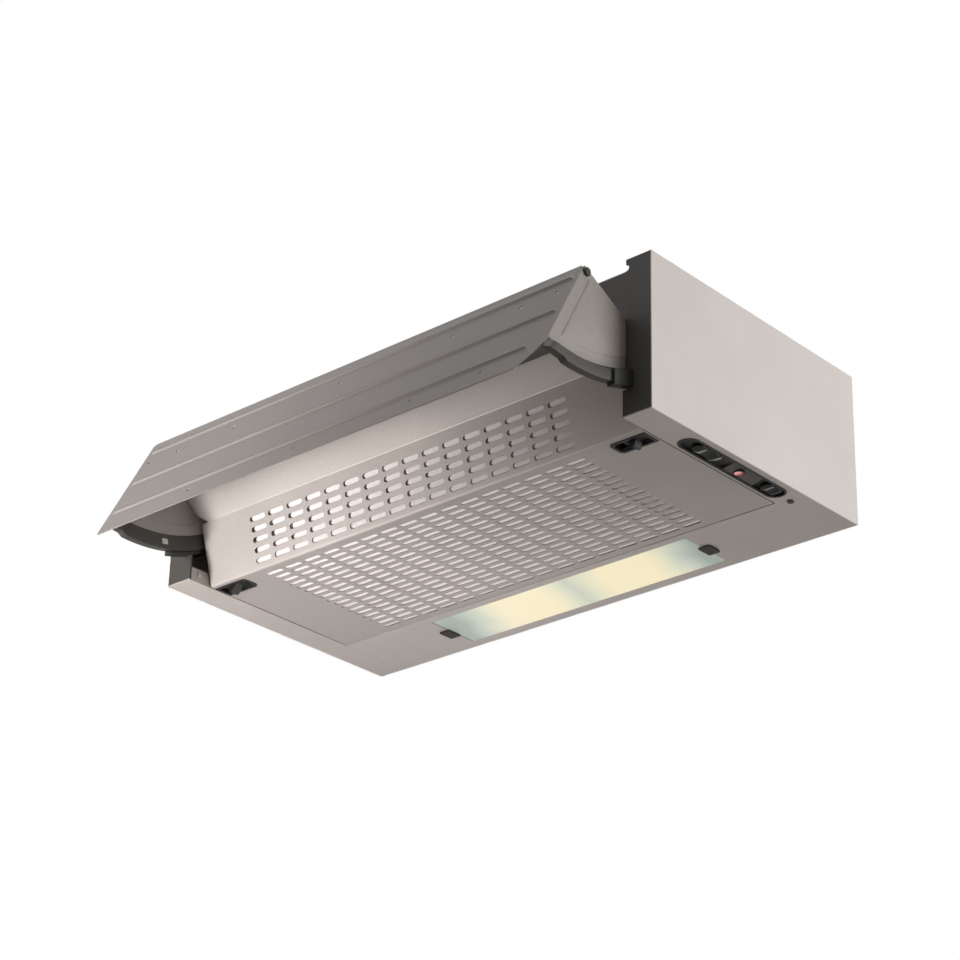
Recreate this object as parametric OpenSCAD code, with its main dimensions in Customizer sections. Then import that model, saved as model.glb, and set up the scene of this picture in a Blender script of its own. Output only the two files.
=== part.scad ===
// Built-in range hood with a visor that swings out of the cabinet front. Sizes in millimetres.
// Origin: centre of the four cabinet screw holes on the top face.
// +X points to the hood's right seen from the front, +Y to the wall, +Z up.
// Shapes are written from the casing's front edge (y), its underside (z) and its middle (x).

/* [Casing] */
// Width of the casing
case_w = 598; // [578:1:898]
// Depth of the casing
case_d = 300; // [298:1:330]
// Height of the casing
case_h = 152; // [150:1:160]
// Thickness of the casing's sheet
sheet = 1; // [0.8:0.1:1.2]
// Width of the rails along the underside's side edges
rail_w = 31; // [30.5:0.5:32]
// Height of the rails' inner lips
lip_h = 14; // [12:1:16]
// Distance of the top panel's front edge behind the posts
top_setback = 15.5; // [12:0.5:18]
// Height of the front cross panel
cross_h = 58; // [40:1:62]
// Depth of the lip under the front cross panel
cross_lip = 12; // [8:1:16]
// Distance of the cabinet screws from the casing's sides
screw_margin_x = 49; // [30:1:60]
// Distance of the cabinet screws from the casing's front and rear
screw_margin_y = 60; // [40:1:70]
// Radius of a cabinet screw hole
screw_hole_r = 2.75; // [2.5:0.05:3]
// Radius of a rivet's shank
rivet_r = 1.5; // [1.2:0.1:1.8]
// Height of a rivet's head
rivet_head_h = 0.8; // [0.6:0.1:1]

/* [Front posts] */
// Width of a post's front face
post_w = 26.5; // [26:0.5:27]
// Thickness of a post
post_t = 2; // [1.5:0.1:2.5]
// Depth of the web that stiffens a post
post_web = 10; // [6:1:14]
// How far a post's foot reaches inwards past its edge
foot_reach = 4; // [3.5:0.25:4.5]
// Length of the tab that a post's foot gives the rail lip
foot_tab = 20; // [16:1:24]
// Height of the hook at a post's top
hook_h = 5; // [4:0.5:6]
// Radius of the notch under that hook
hook_notch_r = 3.2; // [2.5:0.1:4]

/* [Visor] */
// Distance of the closed visor's face in front of the posts
visor_gap = 16.5; // [16:0.25:18]
// Distance of the visor's top edge below the casing's top
visor_drop = 12; // [11:0.5:14]
// Height of the closed visor's lower edge above the underside
visor_foot = 8; // [4:0.5:12]
// Gap between the visor's side and a post
visor_side_gap = 1.5; // [1.3:0.1:2]
// Thickness of the visor's sheet
visor_t = 1; // [0.8:0.1:1.2]
// Angle through which the visor swings
swing_angle = 27.5; // [20:0.5:28]
// Distance of the swing axis in front of the posts
swing_y = 70; // [68:0.5:72]
// Height of the runners' lowest point above the underside
runner_lift = 17; // [15:0.5:19]
// Width of the beads pressed in the visor
bead_w = 4.6; // [3:0.2:6]
// How far a bead stands out
bead_h = 1.2; // [0.8:0.1:1.6]
// Size of the cut at the visor's lower right corner
visor_cut = 24; // [10:1:30]
// Size of the cuts at its other corners
visor_nick = 3; // [1:0.5:5]
// How far the row of door-fixing holes stands to the left
door_hole_shift = 3.5; // [0:0.5:5]
// Radius of a door-fixing hole
door_hole_r = 1.75; // [1.5:0.05:2.5]
// Depth of the channel that stiffens the visor's top edge
stiffener_d = 8; // [6:0.5:9]
// Height of that channel
stiffener_h = 14; // [12:1:18]

/* [Cheeks and runners] */
// Thickness of a cheek
cheek_t = 1; // [0.8:0.1:1.2]
// Radius of a cheek about the swing axis
cheek_r = 189; // [187:0.5:190]
// Distance of the panel pressed in a cheek from its curved edge
panel_edge = 21; // [14:1:30]
// Distance of that panel behind the visor's sheet
panel_front = 11; // [8:0.5:14]
// Distance of that panel below the cheek's top edge
panel_top = 7.5; // [5:0.5:10]
// How far that panel stands out
panel_h = 0.8; // [0.5:0.1:1]
// Height of a runner
runner_h = 11; // [10:0.5:12]
// Thickness of a runner
runner_t = 6; // [5:0.5:6.5]
// Height by which a runner's front is slimmer
runner_step = 2.5; // [1:0.5:4]
// Angle from straight down at which the slim front ends, visor closed
runner_step_angle = 23.8; // [18:0.2:28]
// How far the cheek reaches down behind its runner
runner_overlap = 7; // [6:0.5:8]
// Radius of a corner buffer
buffer_r = 4.2; // [3.5:0.1:4.2]
// Height of a corner buffer
buffer_h = 3; // [2:0.5:4]
// Length of a bracket between visor and cheek
bracket_l = 26; // [20:1:30]
// Width of that bracket's legs
bracket_leg = 12; // [11:0.5:12]

/* [Runner guides] */
// Thickness of the shoes above and below a runner
shoe_t = 3.2; // [2.5:0.1:3.6]
// Thickness of the wall beside a runner
guide_wall = 2.5; // [2:0.1:3]
// How far a guide's nose stands in front of its post
guide_nose = 24; // [10:1:26]
// How far a guide reaches back from the posts
guide_back = 32; // [26:1:34]

/* [Grille] */
// Gap between the grille's side and a rail
grille_gap = 1.7; // [1.5:0.1:2]
// Thickness of the grille's sheet
grille_t = 1; // [0.8:0.1:1.2]
// Distance of the grille's front fold behind the posts
fold_y = 27.5; // [26:0.5:29]
// Length of the grille's leaning front face
face_l = 63.7; // [58:0.5:64]
// Angle by which that face leans forward
face_lean = 16.9; // [14:0.1:17]
// Length of the lip above the face
lip_l = 29.4; // [20:0.5:29.5]
// Angle of the lip above level
lip_rise = 42.4; // [42:0.5:55]
// Cut-back of the lip's lower corners
lip_relief = 9; // [5:0.5:11]
// Height of the grille's side walls over its bottom
wall_h = 14; // [13:0.5:15]
// Length of a slot
slot_l = 20.5; // [14:0.5:21]
// Width of a slot
slot_w = 5; // [3:0.25:5.5]
// Distance between slots across
slot_pitch_x = 25; // [24:0.5:26]
// Distance between slots along the sheet
slot_pitch_y = 10.2; // [9:0.1:10.4]
// Distance of the first bottom row behind the fold
bottom_margin = 12.9; // [10:0.1:13]
// Distance of the first face row above the fold
face_margin = 9; // [7:0.5:10]
// How far the slot pattern stands to the left
slot_shift = 4; // [0:0.5:6]
// Thickness of the fleece
fleece_t = 7; // [5:0.5:8]
// Distance of the fleece from the grille's sides
fleece_margin = 44.3; // [43:0.1:50]
// Radius of the wires that hold the fleece
wire_r = 1; // [0.8:0.1:1.5]

/* [Grille hinge] */
// Distance of the hinge axis in front of the casing's rear
hinge_margin = 88; // [87:0.5:92]
// Radius of the knuckles, and height of the axis above the underside
knuckle_r = 2.6; // [2.5:0.05:2.8]
// Radius of a hinge pin
pin_r = 1.5; // [1.2:0.05:1.55]
// Length of a hinge pin inside the grille
pin_l = 8; // [6:0.5:12]
// Height of a pin's head
pin_head_h = 1.2; // [1:0.1:1.5]

/* [Latches] */
// Distance of a latch's middle behind the posts
latch_y = 42; // [41:0.5:46]
// Length of a latch cup
latch_l = 40; // [38:0.5:42]
// Width of a latch cup
latch_w = 20; // [18:0.5:22]
// Depth of a latch cup above the sheet
latch_h = 9; // [8.5:0.5:11]
// Wall of a latch cup
latch_wall = 1.5; // [1.2:0.1:1.8]
// How far the cup's rim stands below the sheet
latch_rim = 0.9; // [0.5:0.1:1.2]
// Cut of a latch cup's inner corners
latch_nose = 3; // [1:0.5:5]
// Thickness of a latch slider
bolt_t = 5.1; // [4.5:0.1:5.2]
// Length of a latch slider's body
bolt_l = 24; // [22:0.5:25]
// Width of a latch slider's tongue
tongue_w = 8; // [6:0.5:9]
// Thickness of that tongue
tongue_t = 3.6; // [3:0.1:3.8]
// Way of the tongue from rest into its slot
latch_home = 3; // [2:0.25:3]
// Way of the tongue from rest, inwards
latch_draw = 6; // [4:0.5:6]
// How far a latch's knob hangs below the sheet
knob_drop = 6; // [4:0.5:8]

/* [Lamp] */
// Width of the lamp glass
lens_w = 317; // [280:1:330]
// Depth of the lamp glass, front to back
lens_d = 62.5; // [58:0.5:63]
// Thickness of the lamp glass
lens_t = 3; // [2.5:0.1:3]
// Distance of the glass's middle in front of the casing's rear
lens_margin = 43.25; // [42:0.25:44]
// Height of the reflector's roof above the underside
reflector_h = 46; // [44:1:60]
// Thickness of the reflector's sheet
reflector_t = 0.8; // [0.6:0.1:1]
// Width of a lens clip, across
clip_w = 12; // [10:0.5:13]
// Length of a lens clip, front to back
clip_l = 17; // [14:0.5:20]
// How far a lens clip stands below the sheet
clip_h = 2.4; // [2:0.1:3]
// How far a lens clip reaches under the glass
clip_bite = 2; // [1.5:0.25:2.5]
// Way of a lens clip
clip_way = 3; // [2.75:0.25:4]
// Radius of a bulb
bulb_r = 17.5; // [14:0.5:18]
// Length of a bulb's glass
bulb_l = 76; // [60:1:78]
// Radius of a lampholder
holder_r = 13.5; // [12:0.5:14]
// Length of a lampholder
holder_l = 25; // [22:0.5:26]
// Radius of a bulb's screw cap
cap_r = 7; // [6.5:0.1:7.2]

/* [Controls] */
// Width of the control recess
bezel_w = 21; // [20:0.5:22]
// Length of the control recess
bezel_l = 144; // [138:1:146]
// Distance of its front end behind the posts
bezel_y = 63; // [61:0.5:64]
// Distance of its side from the rail's inner edge
bezel_inset = 3; // [2.5:0.1:3.5]
// Depth of the recess
bezel_depth = 2.6; // [2:0.1:3]
// How far its rim stands below the sheet
bezel_rim = 0.8; // [0.5:0.1:1]
// Thickness of its roof
bezel_roof = 2; // [1.6:0.1:2.4]
// Length of the fan slider
fan_knob_l = 34; // [30:1:36]
// Distance of the fan slider behind the posts
fan_knob_y = 81; // [79:0.5:82]
// Way of the fan slider
fan_way = 15; // [9:0.5:15]
// Length of the light slider
light_knob_l = 22; // [18:1:24]
// Distance of the light slider behind the posts
light_knob_y = 180; // [176:0.5:181]
// Way of the light slider
light_way = 6; // [4:0.5:6]
// Width of the sliders
knob_w = 14; // [12:0.5:15]
// Thickness of the sliders' plates
knob_t = 2; // [1.5:0.1:2.2]
// Height of the ribs on the sliders
knob_rib = 1.6; // [1:0.1:2]
// Width of the sliders' stems
stem_w = 3; // [2:0.25:4]
// Length of the sliders' stems
stem_l = 6; // [4:0.5:7]
// Height of the switch housings
switch_h = 16; // [14:1:20]
// Radius of the indicator
lamp_dot_r = 5.4; // [4:0.1:5.4]
// Distance of the indicator behind the posts
lamp_dot_y = 147; // [144:0.5:150]
// Distance of the panel screw behind the posts
panel_screw_y = 220; // [219:0.5:222]
// Radius of the panel screw's head
panel_screw_r = 3; // [2.5:0.1:3.5]

/* [Blower] */
// Distance of the fan's axis behind the posts
fan_y = 140; // [138:0.5:141]
// Gap between the impeller and the housing's tongue
impeller_gap = 5; // [4:0.5:8]
// Half the length of the impeller
impeller_x = 40; // [34:0.5:42]
// Number of blades
blades = 36; // [24:1:40]
// Depth of a blade
blade_d = 8.5; // [7:0.25:9]
// Thickness of a blade
blade_t = 1.2; // [0.8:0.1:1.4]
// Radius of the fan's shaft
shaft_r = 3; // [2.5:0.1:3.5]
// Radius of the motor
motor_r = 26; // [22:0.5:28]
// Length of the motor
motor_l = 42; // [38:0.5:43]
// Outer radius of a motor bush
bush_r = 6; // [5:0.25:7]
// Half the width of the blower housing
scroll_x = 48; // [46:0.5:50]
// Wall of the blower housing
scroll_t = 2; // [1.6:0.1:2.4]
// How far the housing's inlets stand inside the impeller's rim
inlet_lap = 6; // [5:0.5:9]

/* [Outlet] */
// Outer radius of the duct collar
collar_r = 59.5; // [55:0.5:62]
// Wall of the duct collar
collar_t = 2; // [1.6:0.1:2.4]
// Height of the duct collar
collar_h = 36; // [24:1:50]
// Width of the collar's flange
collar_flange = 12.5; // [11:0.5:14]
// Thickness of that flange
collar_flange_t = 1.5; // [1.2:0.1:2]
// How far the shoulder in the top panel's hole stands out from the collar
collar_step = 1.5; // [1:0.1:2]
// Height of the damper rod above the top panel
damper_z = 10; // [8:0.5:14]
// Thickness of the damper flaps
damper_t = 1.2; // [1:0.1:1.4]
// Radius of the damper rod
rod_r = 1.5; // [1.2:0.1:1.6]
// Outer radius of the damper knuckles
damper_knuckle_r = 3; // [2.8:0.1:3]
// Radius of the collar's screws
collar_screw_r = 1.75; // [1.5:0.05:2]

/* [Electrics] */
// Size of the junction box
box_size = [70, 59, 60]; // [40:1:75]
// Distance of the junction box from the casing's left side
box_margin = 49; // [45:1:53]
// Wall of the junction box
box_t = 2; // [1.6:0.1:2.4]
// Outer radius of the cable gland
gland_r = 10; // [9:0.5:11]
// Radius of the gland's bore
gland_bore_r = 3.6; // [3:0.1:4.5]
// Height of the gland above the top panel
gland_h = 16; // [12:1:20]
// Radius of the motor's capacitor
capacitor_r = 13; // [11:0.5:14]
// Length of the motor's capacitor
capacitor_l = 48; // [40:1:52]
// Radius of the wiring loom
loom_r = 3; // [2:0.25:4]
// Radius of the leads that branch off it
lead_r = 2; // [1.5:0.25:2.5]

/* [Fits] */
// Clearance of a pin in what turns on it
run_fit = 0.06; // [0.03:0.01:0.1]
// Gap between sliding pieces
slide_gap = 0.3; // [0.2:0.05:0.4]
// Clearance of a screw or rivet in its hole
hole_fit = 0.05; // [0.03:0.01:0.1]
// Overrun of the cuts
cut = 1; // [0.5:0.5:2]

/* [Hidden] */
$fn = 64;
// Facets of the large arcs about the swing axis
arc_fn = 256;

// Planes of the casing
half_w = case_w/2;
inner_x = half_w - sheet;
rear_y = case_d - sheet;
under_top = case_h - sheet;
rail_x = half_w - rail_w;
post_x = inner_x - post_w;
foot_x = post_x - foot_reach;

// The visor, closed, and its swing axis
visor_x = post_x - visor_side_gap;
visor_face = -visor_gap;
visor_back = visor_face + visor_t;
visor_top = case_h - visor_drop;
visor_h = visor_top - visor_foot;
cheek_x = visor_x - cheek_t;
axis_y = -swing_y;
runner_r = cheek_r - runner_overlap;
runner_end_r = runner_r + runner_h;
axis_z = runner_lift + runner_end_r;
runner_x = visor_x + runner_t;
guide_x = runner_x + slide_gap + guide_wall;
shoe_r = runner_end_r + slide_gap;
shoe_end_r = shoe_r + shoe_t;
// Shares of the visor's height at which its beads lie, from the top
bead_shares = [0.12, 0.47, 0.79];
// Shares of half its width at which the beads end, left and right
bead_end_shares = [[-0.98, 0.98], [-0.98, 0.98], [-0.98, 0.925]];
// Door-fixing holes: shares of half the visor's width, and of its height from the top
upper_hole_share = 0.235;
upper_hole_shares = [-0.95, -0.80, -0.51, 0, 0.51, 0.80, 0.95];
lower_hole_share = 0.88;
lower_hole_shares = [-0.567, -0.063, 0.456, 0.752];
// Height of each bracket's foot, as a share of the visor's height
bracket_shares = [0.20, 0.70];
// Angles of a closed runner's clips behind straight down
clip_angles = [38.8, 58.8];
// Angle of the stop on a closed runner: its front face meets the guide when the visor is open
stop_front_angle = asin((guide_back + swing_y)/shoe_r) + swing_angle + slide_gap;
stop_width_angle = 2;
runner_clip = [7, 5.5, 0.8];

// The grille: its fold line, face and lip in the y-z plane
hinge_y = case_d - hinge_margin;
grille_x = rail_x - grille_gap;
fleece_x = grille_x - fleece_margin;
// As many slots as the fleece covers
slot_columns = floor(2*fleece_x/slot_pitch_x - 1);
bottom_rows = 1 + floor((hinge_y - 2*knuckle_r - fold_y - bottom_margin)/slot_pitch_y);
face_rows = 1 + floor((face_l - face_margin - 1.5*slot_w)/slot_pitch_y);
grille_rear = hinge_y + knuckle_r;
fold_top = [fold_y - face_l*sin(face_lean), face_l*cos(face_lean)];
lip_tip = fold_top + lip_l*[-cos(lip_rise), sin(lip_rise)];
grille_path = [lip_tip, fold_top, [fold_y, 0], [grille_rear, 0]];
face_dir = [-sin(face_lean), cos(face_lean)];
face_in = [cos(face_lean), sin(face_lean)];
band_y = hinge_y + knuckle_r*sqrt(2) + 1.5*slide_gap;
wall_back_y = hinge_y - knuckle_r;

// Latches
latch_x1 = grille_x - grille_t;
latch_x0 = latch_x1 - latch_l;
latch_body_in = latch_wall*0.8;
latch_hollow_in = latch_body_in + latch_wall;
latch_ledge = latch_wall*1.5;
ledge_z = [latch_wall*0.7, latch_h - latch_wall - slide_gap/1.5 - bolt_t];
bolt_half = latch_w/2 - latch_hollow_in - slide_gap/1.5;
bolt_x1 = latch_x1 - latch_hollow_in - latch_home - slide_gap;
bolt_x0 = bolt_x1 - bolt_l;
tongue_z = ledge_z[1] + (bolt_t - tongue_t)/2;
tongue_x = rail_x - slide_gap;

// Lamp
lens_x = lens_w/2;
lens_y = case_d - lens_margin;
lens_y0 = lens_y - lens_d/2;
lens_y1 = lens_y + lens_d/2;
lens_room = sheet;
clip_foot_t = 1.2*sheet;
reflector_x = lens_x - 1.5*sheet;
reflector_y0 = lens_y0 - 3.3*lens_room;
reflector_y1 = lens_y1 + 3.3*lens_room;
bulb_z = (lens_t + reflector_h)/2;
holder_x1 = reflector_x - reflector_t;
holder_x0 = holder_x1 - holder_l;
cap_l = holder_l - 2*sheet;

// Controls
bezel_x0 = rail_x + bezel_inset;
bezel_mid = bezel_x0 + bezel_w/2;
bezel_top = bezel_depth + bezel_roof;
lamp_dot_x = bezel_mid - bezel_w/8;
switch_x = [bezel_mid - knob_w/2, bezel_mid + knob_w/2];
stem_top = bezel_top + switch_h/3;

// Blower and outlet: the outlet stands over the middle of the housing's throat
fan_z_share = 10/19;
scroll_share = 0.3224;
growth_share = 0.49;
fan_z = fan_z_share*case_h;
scroll_r0 = scroll_share*case_h;
scroll_growth = growth_share*scroll_r0;
impeller_r = scroll_r0 - impeller_gap;
inlet_r = impeller_r - inlet_lap;
tongue_angle = 70;
sweep = 360 - tongue_angle;
function scroll_radius(a) = scroll_r0 + scroll_growth*a/360;
throat_y0 = fan_y + scroll_r0*cos(tongue_angle);
throat_y1 = fan_y + scroll_radius(sweep);
outlet_y = (throat_y0 + throat_y1)/2;
collar_in = collar_r - collar_t;
collar_end_r = collar_r + collar_flange;
damper_axis_z = case_h + damper_z;
damper_r = collar_in - 2*slide_gap;
damper_edge = damper_knuckle_r + slide_gap;
// Stretches of a damper's two knuckles, as shares of its radius
damper_knuckle_shares = [[-0.88, -0.53], [0.09, 0.44]];
collar_z0 = under_top - collar_flange_t;
damper_seat_z = damper_axis_z - 2*damper_t - slide_gap;
neck_z0 = collar_z0 - 1.5*scroll_t;
neck_flange_x = collar_r;
screw_circle = collar_r + collar_flange/2;
collar_head_h = collar_screw_r*1.2;
motor_x0 = bush_r;
motor_x1 = motor_x0 + motor_l;

// Electrics
box_x = half_w - box_margin;
box_y0 = rear_y - box_size.y;
box_z0 = under_top - box_size.z;
gland_x = -box_x + box_size.x/2;
gland_y = rear_y - box_size.y/2;
loom_y = rear_y - 4*loom_r;
loom_z = under_top - 7*loom_r;
loom_x = inner_x - 4*loom_r;
loom_low = bezel_top + switch_h*0.7;
loom_front = light_knob_y + light_knob_l + light_way;
// Places where the leads leave the loom, as shares of half the casing's width
lamp_lead_share = 0.48;
motor_lead_share = 0.32;

// Places a shape that is written from the casing's front, underside and middle
module casing_place() translate([0, -case_d/2, -case_h]) children();

// Swings a shape from the closed visor's place to the open one's
module swung_open()
    translate([0, axis_y, axis_z]) rotate([-swing_angle, 0, 0]) translate([0, -axis_y, -axis_z]) children();

module on_left() mirror([1, 0, 0]) children();

module on_both_sides() {
    children();
    on_left() children();
}

// A box between two corners
module block(low, high) translate(low) cube(high - low);

// An outline in the y-z plane, carried from one x to another
module along_x(from, to) translate([from, 0, 0]) rotate([90, 0, 90]) linear_extrude(to - from) children();

// A round bar along x
module rod_x(from, to, r) translate([from, 0, 0]) rotate([0, 90, 0]) cylinder(h = to - from, r = r);

// A ring about the swing axis in the y-z plane
module swing_ring(r_in, r_out) translate([axis_y, axis_z]) difference() {
    circle(r_out, $fn = arc_fn);
    circle(r_in, $fn = arc_fn);
}

// The quarter of the y-z plane behind the closed visor's sheet and below its top edge
module behind_visor(front, top) translate([front, top - 2*visor_h]) square([4*swing_y, 2*visor_h]);

// Left-hand normal of the way from a to b, and a path moved to its left by t
function left_of(a, b) = [a.y - b.y, b.x - a.x]/norm(b - a);
function moved(path, t) = [for (i = [0:len(path) - 1]) let (
    last = len(path) - 1,
    n1 = left_of(path[max(i - 1, 0)], path[max(i, 1)]),
    n2 = left_of(path[min(i, last - 1)], path[min(i + 1, last)])) path[i] + t*(n1 + n2)/(1 + n1*n2)];
function backwards(path) = [for (i = [len(path) - 1:-1:0]) path[i]];

// The section of a folded sheet whose outer side follows a path
module folded_sheet(path, t) polygon(concat(path, backwards(moved(path, t))));

// A stadium between two points on the x axis
module slot_shape(l, w) {
    square([l - w, w], center = true);
    for (s = [-1, 1]) translate([s*(l - w)/2, 0]) circle(w/2, $fn = 24);
}

module left_side_panel() color("#d3cdc8") casing_place() on_left() side_panel();
module right_side_panel() color("#d3cdc8") casing_place() side_panel();
module side_panel() block([inner_x, 0, 0], [half_w, case_d, case_h]);

module top_panel() color("#bdb7b2") casing_place() difference() {
    block([-inner_x, top_setback, under_top], [inner_x, rear_y, case_h]);
    for (x = [-1, 1], y = [screw_margin_y, case_d - screw_margin_y])
        translate([x*(half_w - screw_margin_x), y, 0])
        cylinder(h = case_h + cut, r = screw_hole_r);
    translate([0, outlet_y, 0]) cylinder(h = case_h + cut, r = collar_r + collar_step + hole_fit);
    collar_screw_holes();
    translate([gland_x, gland_y, 0]) cylinder(h = case_h + cut, r = gland_r + hole_fit);
}

module rear_panel() color("#bdb7b2") casing_place()
    block([-inner_x, rear_y, 0], [inner_x, case_d, case_h]);

module front_cross_panel() color("#5a544f") casing_place() along_x(-cheek_x + 3*sheet, cheek_x - 3*sheet)
    folded_sheet([[top_setback + cross_lip, under_top - cross_h], [top_setback, under_top - cross_h],
        [top_setback, under_top]], -sheet);

// A rail's lip is pierced for the latch's tongue, the hinge pin and the post's rivet
module rail() {
    block([rail_x, 0, 0], [inner_x, rear_y, sheet]);
    difference() {
        block([rail_x, post_t, 0], [rail_x + sheet, band_y, lip_h]);
        block([rail_x - cut, latch_y - tongue_w/2 - 2*slide_gap, tongue_z - slide_gap],
            [rail_x + sheet + cut, latch_y + tongue_w/2 + 2*slide_gap, tongue_z + tongue_t + slide_gap]);
        translate([0, hinge_y, knuckle_r]) rod_x(rail_x - cut, rail_x + sheet + cut, pin_r + hole_fit);
        rail_rivet_place() rod_x(rail_x - cut, rail_x + sheet + cut, rivet_r + hole_fit);
    }
}

module rail_rivet_place() translate([0, post_t + foot_tab/2, sheet + lip_h/2]) children();

module left_bottom_rail() color("#a8a19b") casing_place() on_left() rail();

// The underside sheet: the right rail, and a band at the rear with the lamp's opening
module lamp_control_panel() color("#938b87") casing_place() difference() {
    union() {
        rail();
        block([-rail_x + slide_gap, band_y, 0], [rail_x, rear_y, sheet]);
        block([-rail_x + sheet, band_y, 0], [rail_x - sheet, band_y + sheet, lip_h - 2*sheet]);
        block([-rail_x + sheet, rear_y - sheet, 0], [rail_x - sheet, rear_y, lip_h - 2*sheet]);
    }
    block([-lens_x - lens_room, lens_y0 - slide_gap, -cut], [lens_x + lens_room, lens_y1 + slide_gap, sheet + cut]);
    on_both_sides() block([lens_x, lens_y - clip_stem_l/2 - slide_gap, -cut],
        [clip_stem_x1 + clip_way + slide_gap, lens_y + clip_stem_l/2 + slide_gap, sheet + cut]);
    translate([0, 0, -cut]) linear_extrude(sheet + 2*cut) bezel_outline(sheet*0.8);
    panel_screw_place() cylinder(h = 4*sheet, r = panel_screw_r/2 + hole_fit, center = true);
}

// A front post: face with hooked top, foot, stiffening web and a tab for the rail's rivet
module post() difference() {
    union() {
        block([post_x, 0, sheet], [inner_x, post_t, case_h]);
        block([foot_x, 0, sheet], [inner_x, post_t, post_foot_z]);
        block([inner_x - post_t, 0, sheet], [inner_x, post_web, under_top]);
        block([rail_x + sheet, 0, sheet], [rail_x + sheet + post_t, post_t + foot_tab, lip_h]);
    }
    along_x(foot_x - cut, guide_x + slide_gap) swing_ring(runner_r - slide_gap, shoe_end_r + slide_gap);
    translate([post_x, 0, case_h - hook_h - hook_notch_r]) rotate([90, 0, 0])
        cylinder(h = 4*post_t, r = hook_notch_r, center = true);
    rail_rivet_place() rod_x(rail_x, rail_x + sheet + post_t + cut, rivet_r + hole_fit);
}
// The foot ends under the runner's slot
post_foot_z = axis_z - sqrt(pow(shoe_end_r + slide_gap, 2) - pow(swing_y, 2)) - slide_gap;

module left_front_post() color("#3a3632") casing_place() on_left() post();
module right_front_post() color("#3a3632") casing_place() post();

// A guide holds its runner between two shoes, with a wall beside it and a block to the post's web
module guide() {
    along_x(visor_x + slide_gap, guide_x - guide_wall) intersection() {
        swing_ring(shoe_r, shoe_end_r);
        translate([-guide_nose, 0]) square([guide_nose + guide_back, case_h]);
    }
    along_x(visor_x + slide_gap, guide_x - guide_wall) intersection() {
        swing_ring(runner_r - slide_gap - shoe_t, runner_r - slide_gap);
        translate([post_t + slide_gap, 0]) square([guide_back - post_t - slide_gap, case_h]);
    }
    along_x(guide_x - guide_wall, guide_x) intersection() {
        swing_ring(runner_r - slide_gap, shoe_end_r);
        translate([-guide_nose, 0]) square([guide_nose + guide_back, case_h]);
    }
    along_x(guide_x - guide_wall, guide_x) intersection() {
        swing_ring(runner_r - slide_gap - shoe_t, shoe_end_r);
        translate([post_t, 0]) square([guide_back - post_t, case_h]);
    }
    along_x(guide_x, inner_x - post_t) intersection() {
        swing_ring(runner_r - slide_gap - shoe_t, shoe_end_r);
        translate([post_t, 0]) square([guide_back - post_t, case_h]);
    }
}

module runner_guides() color("#1b1a18") casing_place() on_both_sides() guide();

module rail_rivets() color("#c9c6c2") casing_place() on_both_sides() rail_rivet_place() {
    rod_x(rail_x - rivet_head_h, rail_x, 1.7*rivet_r);
    rod_x(rail_x - rivet_head_h, rail_x + sheet + post_t, rivet_r);
}

// Places four screws round the outlet
module at_collar_screws() for (a = [45:90:315])
    translate([screw_circle*cos(a), outlet_y + screw_circle*sin(a), 0]) children();

module collar_screw_holes() at_collar_screws() cylinder(h = case_h + collar_h, r = collar_screw_r + hole_fit);

// The duct collar comes up from below: its flange lies under the top panel and a shoulder fills the panel's hole.
// Inside are a seat for the dampers and two holes for their rod.
module outlet_collar() color("#2b2b2b") casing_place() difference() {
    translate([0, outlet_y, collar_z0]) {
        cylinder(h = collar_flange_t, r = collar_end_r);
        cylinder(h = collar_flange_t + sheet + slide_gap, r = collar_r + collar_step);
        cylinder(h = collar_flange_t + sheet + collar_h, r = collar_r);
    }
    translate([0, outlet_y, collar_z0 - cut]) cylinder(h = collar_h, r = collar_in - collar_t);
    translate([0, outlet_y, collar_z0 - cut])
        cylinder(h = damper_seat_z - collar_z0 + cut, r = collar_in);
    translate([0, outlet_y, damper_axis_z - damper_t/2 - slide_gap]) cylinder(h = collar_h, r = collar_in);
    translate([0, outlet_y, damper_axis_z]) rotate([90, 0, 0])
        cylinder(h = 2*collar_r + 2*cut, r = rod_r + hole_fit, center = true);
    collar_screw_holes();
}

// The collar's screws are driven from below, through the housing's flange, and end flush with the top panel
module collar_screws() color("#c9c6c2") casing_place() at_collar_screws() {
    translate([0, 0, neck_z0 - collar_head_h]) cylinder(h = collar_head_h, r = 1.9*collar_screw_r);
    translate([0, 0, neck_z0 - collar_head_h]) cylinder(h = case_h - neck_z0 + collar_head_h, r = collar_screw_r);
}

module damper_rod() color("#c9c6c2") casing_place() translate([0, outlet_y, damper_axis_z]) rotate([90, 0, 0])
    cylinder(h = 2*collar_r - collar_t, r = rod_r, center = true);

// One half-round damper flap with its two knuckles, written about the rod's middle
module damper() difference() {
    union() {
        translate([0, 0, -damper_t/2]) linear_extrude(damper_t) intersection() {
            circle(damper_r, $fn = arc_fn);
            translate([damper_edge, -damper_r]) square([damper_r, 2*damper_r]);
        }
        for (s = damper_knuckle_shares) {
            translate([0, s[0]*damper_r, 0]) rotate([-90, 0, 0])
                cylinder(h = (s[1] - s[0])*damper_r, r = damper_knuckle_r);
            block([0, s[0]*damper_r, -damper_t/2], [2*damper_edge, s[1]*damper_r, damper_t/2]);
        }
    }
    rotate([90, 0, 0]) cylinder(h = 2*damper_r, r = rod_r + run_fit, center = true);
}

module right_damper() color("#3c3c3a") casing_place() translate([0, outlet_y, damper_axis_z]) damper();
module left_damper() color("#3c3c3a") casing_place() translate([0, outlet_y, damper_axis_z])
    rotate([0, 0, 180]) damper();

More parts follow.
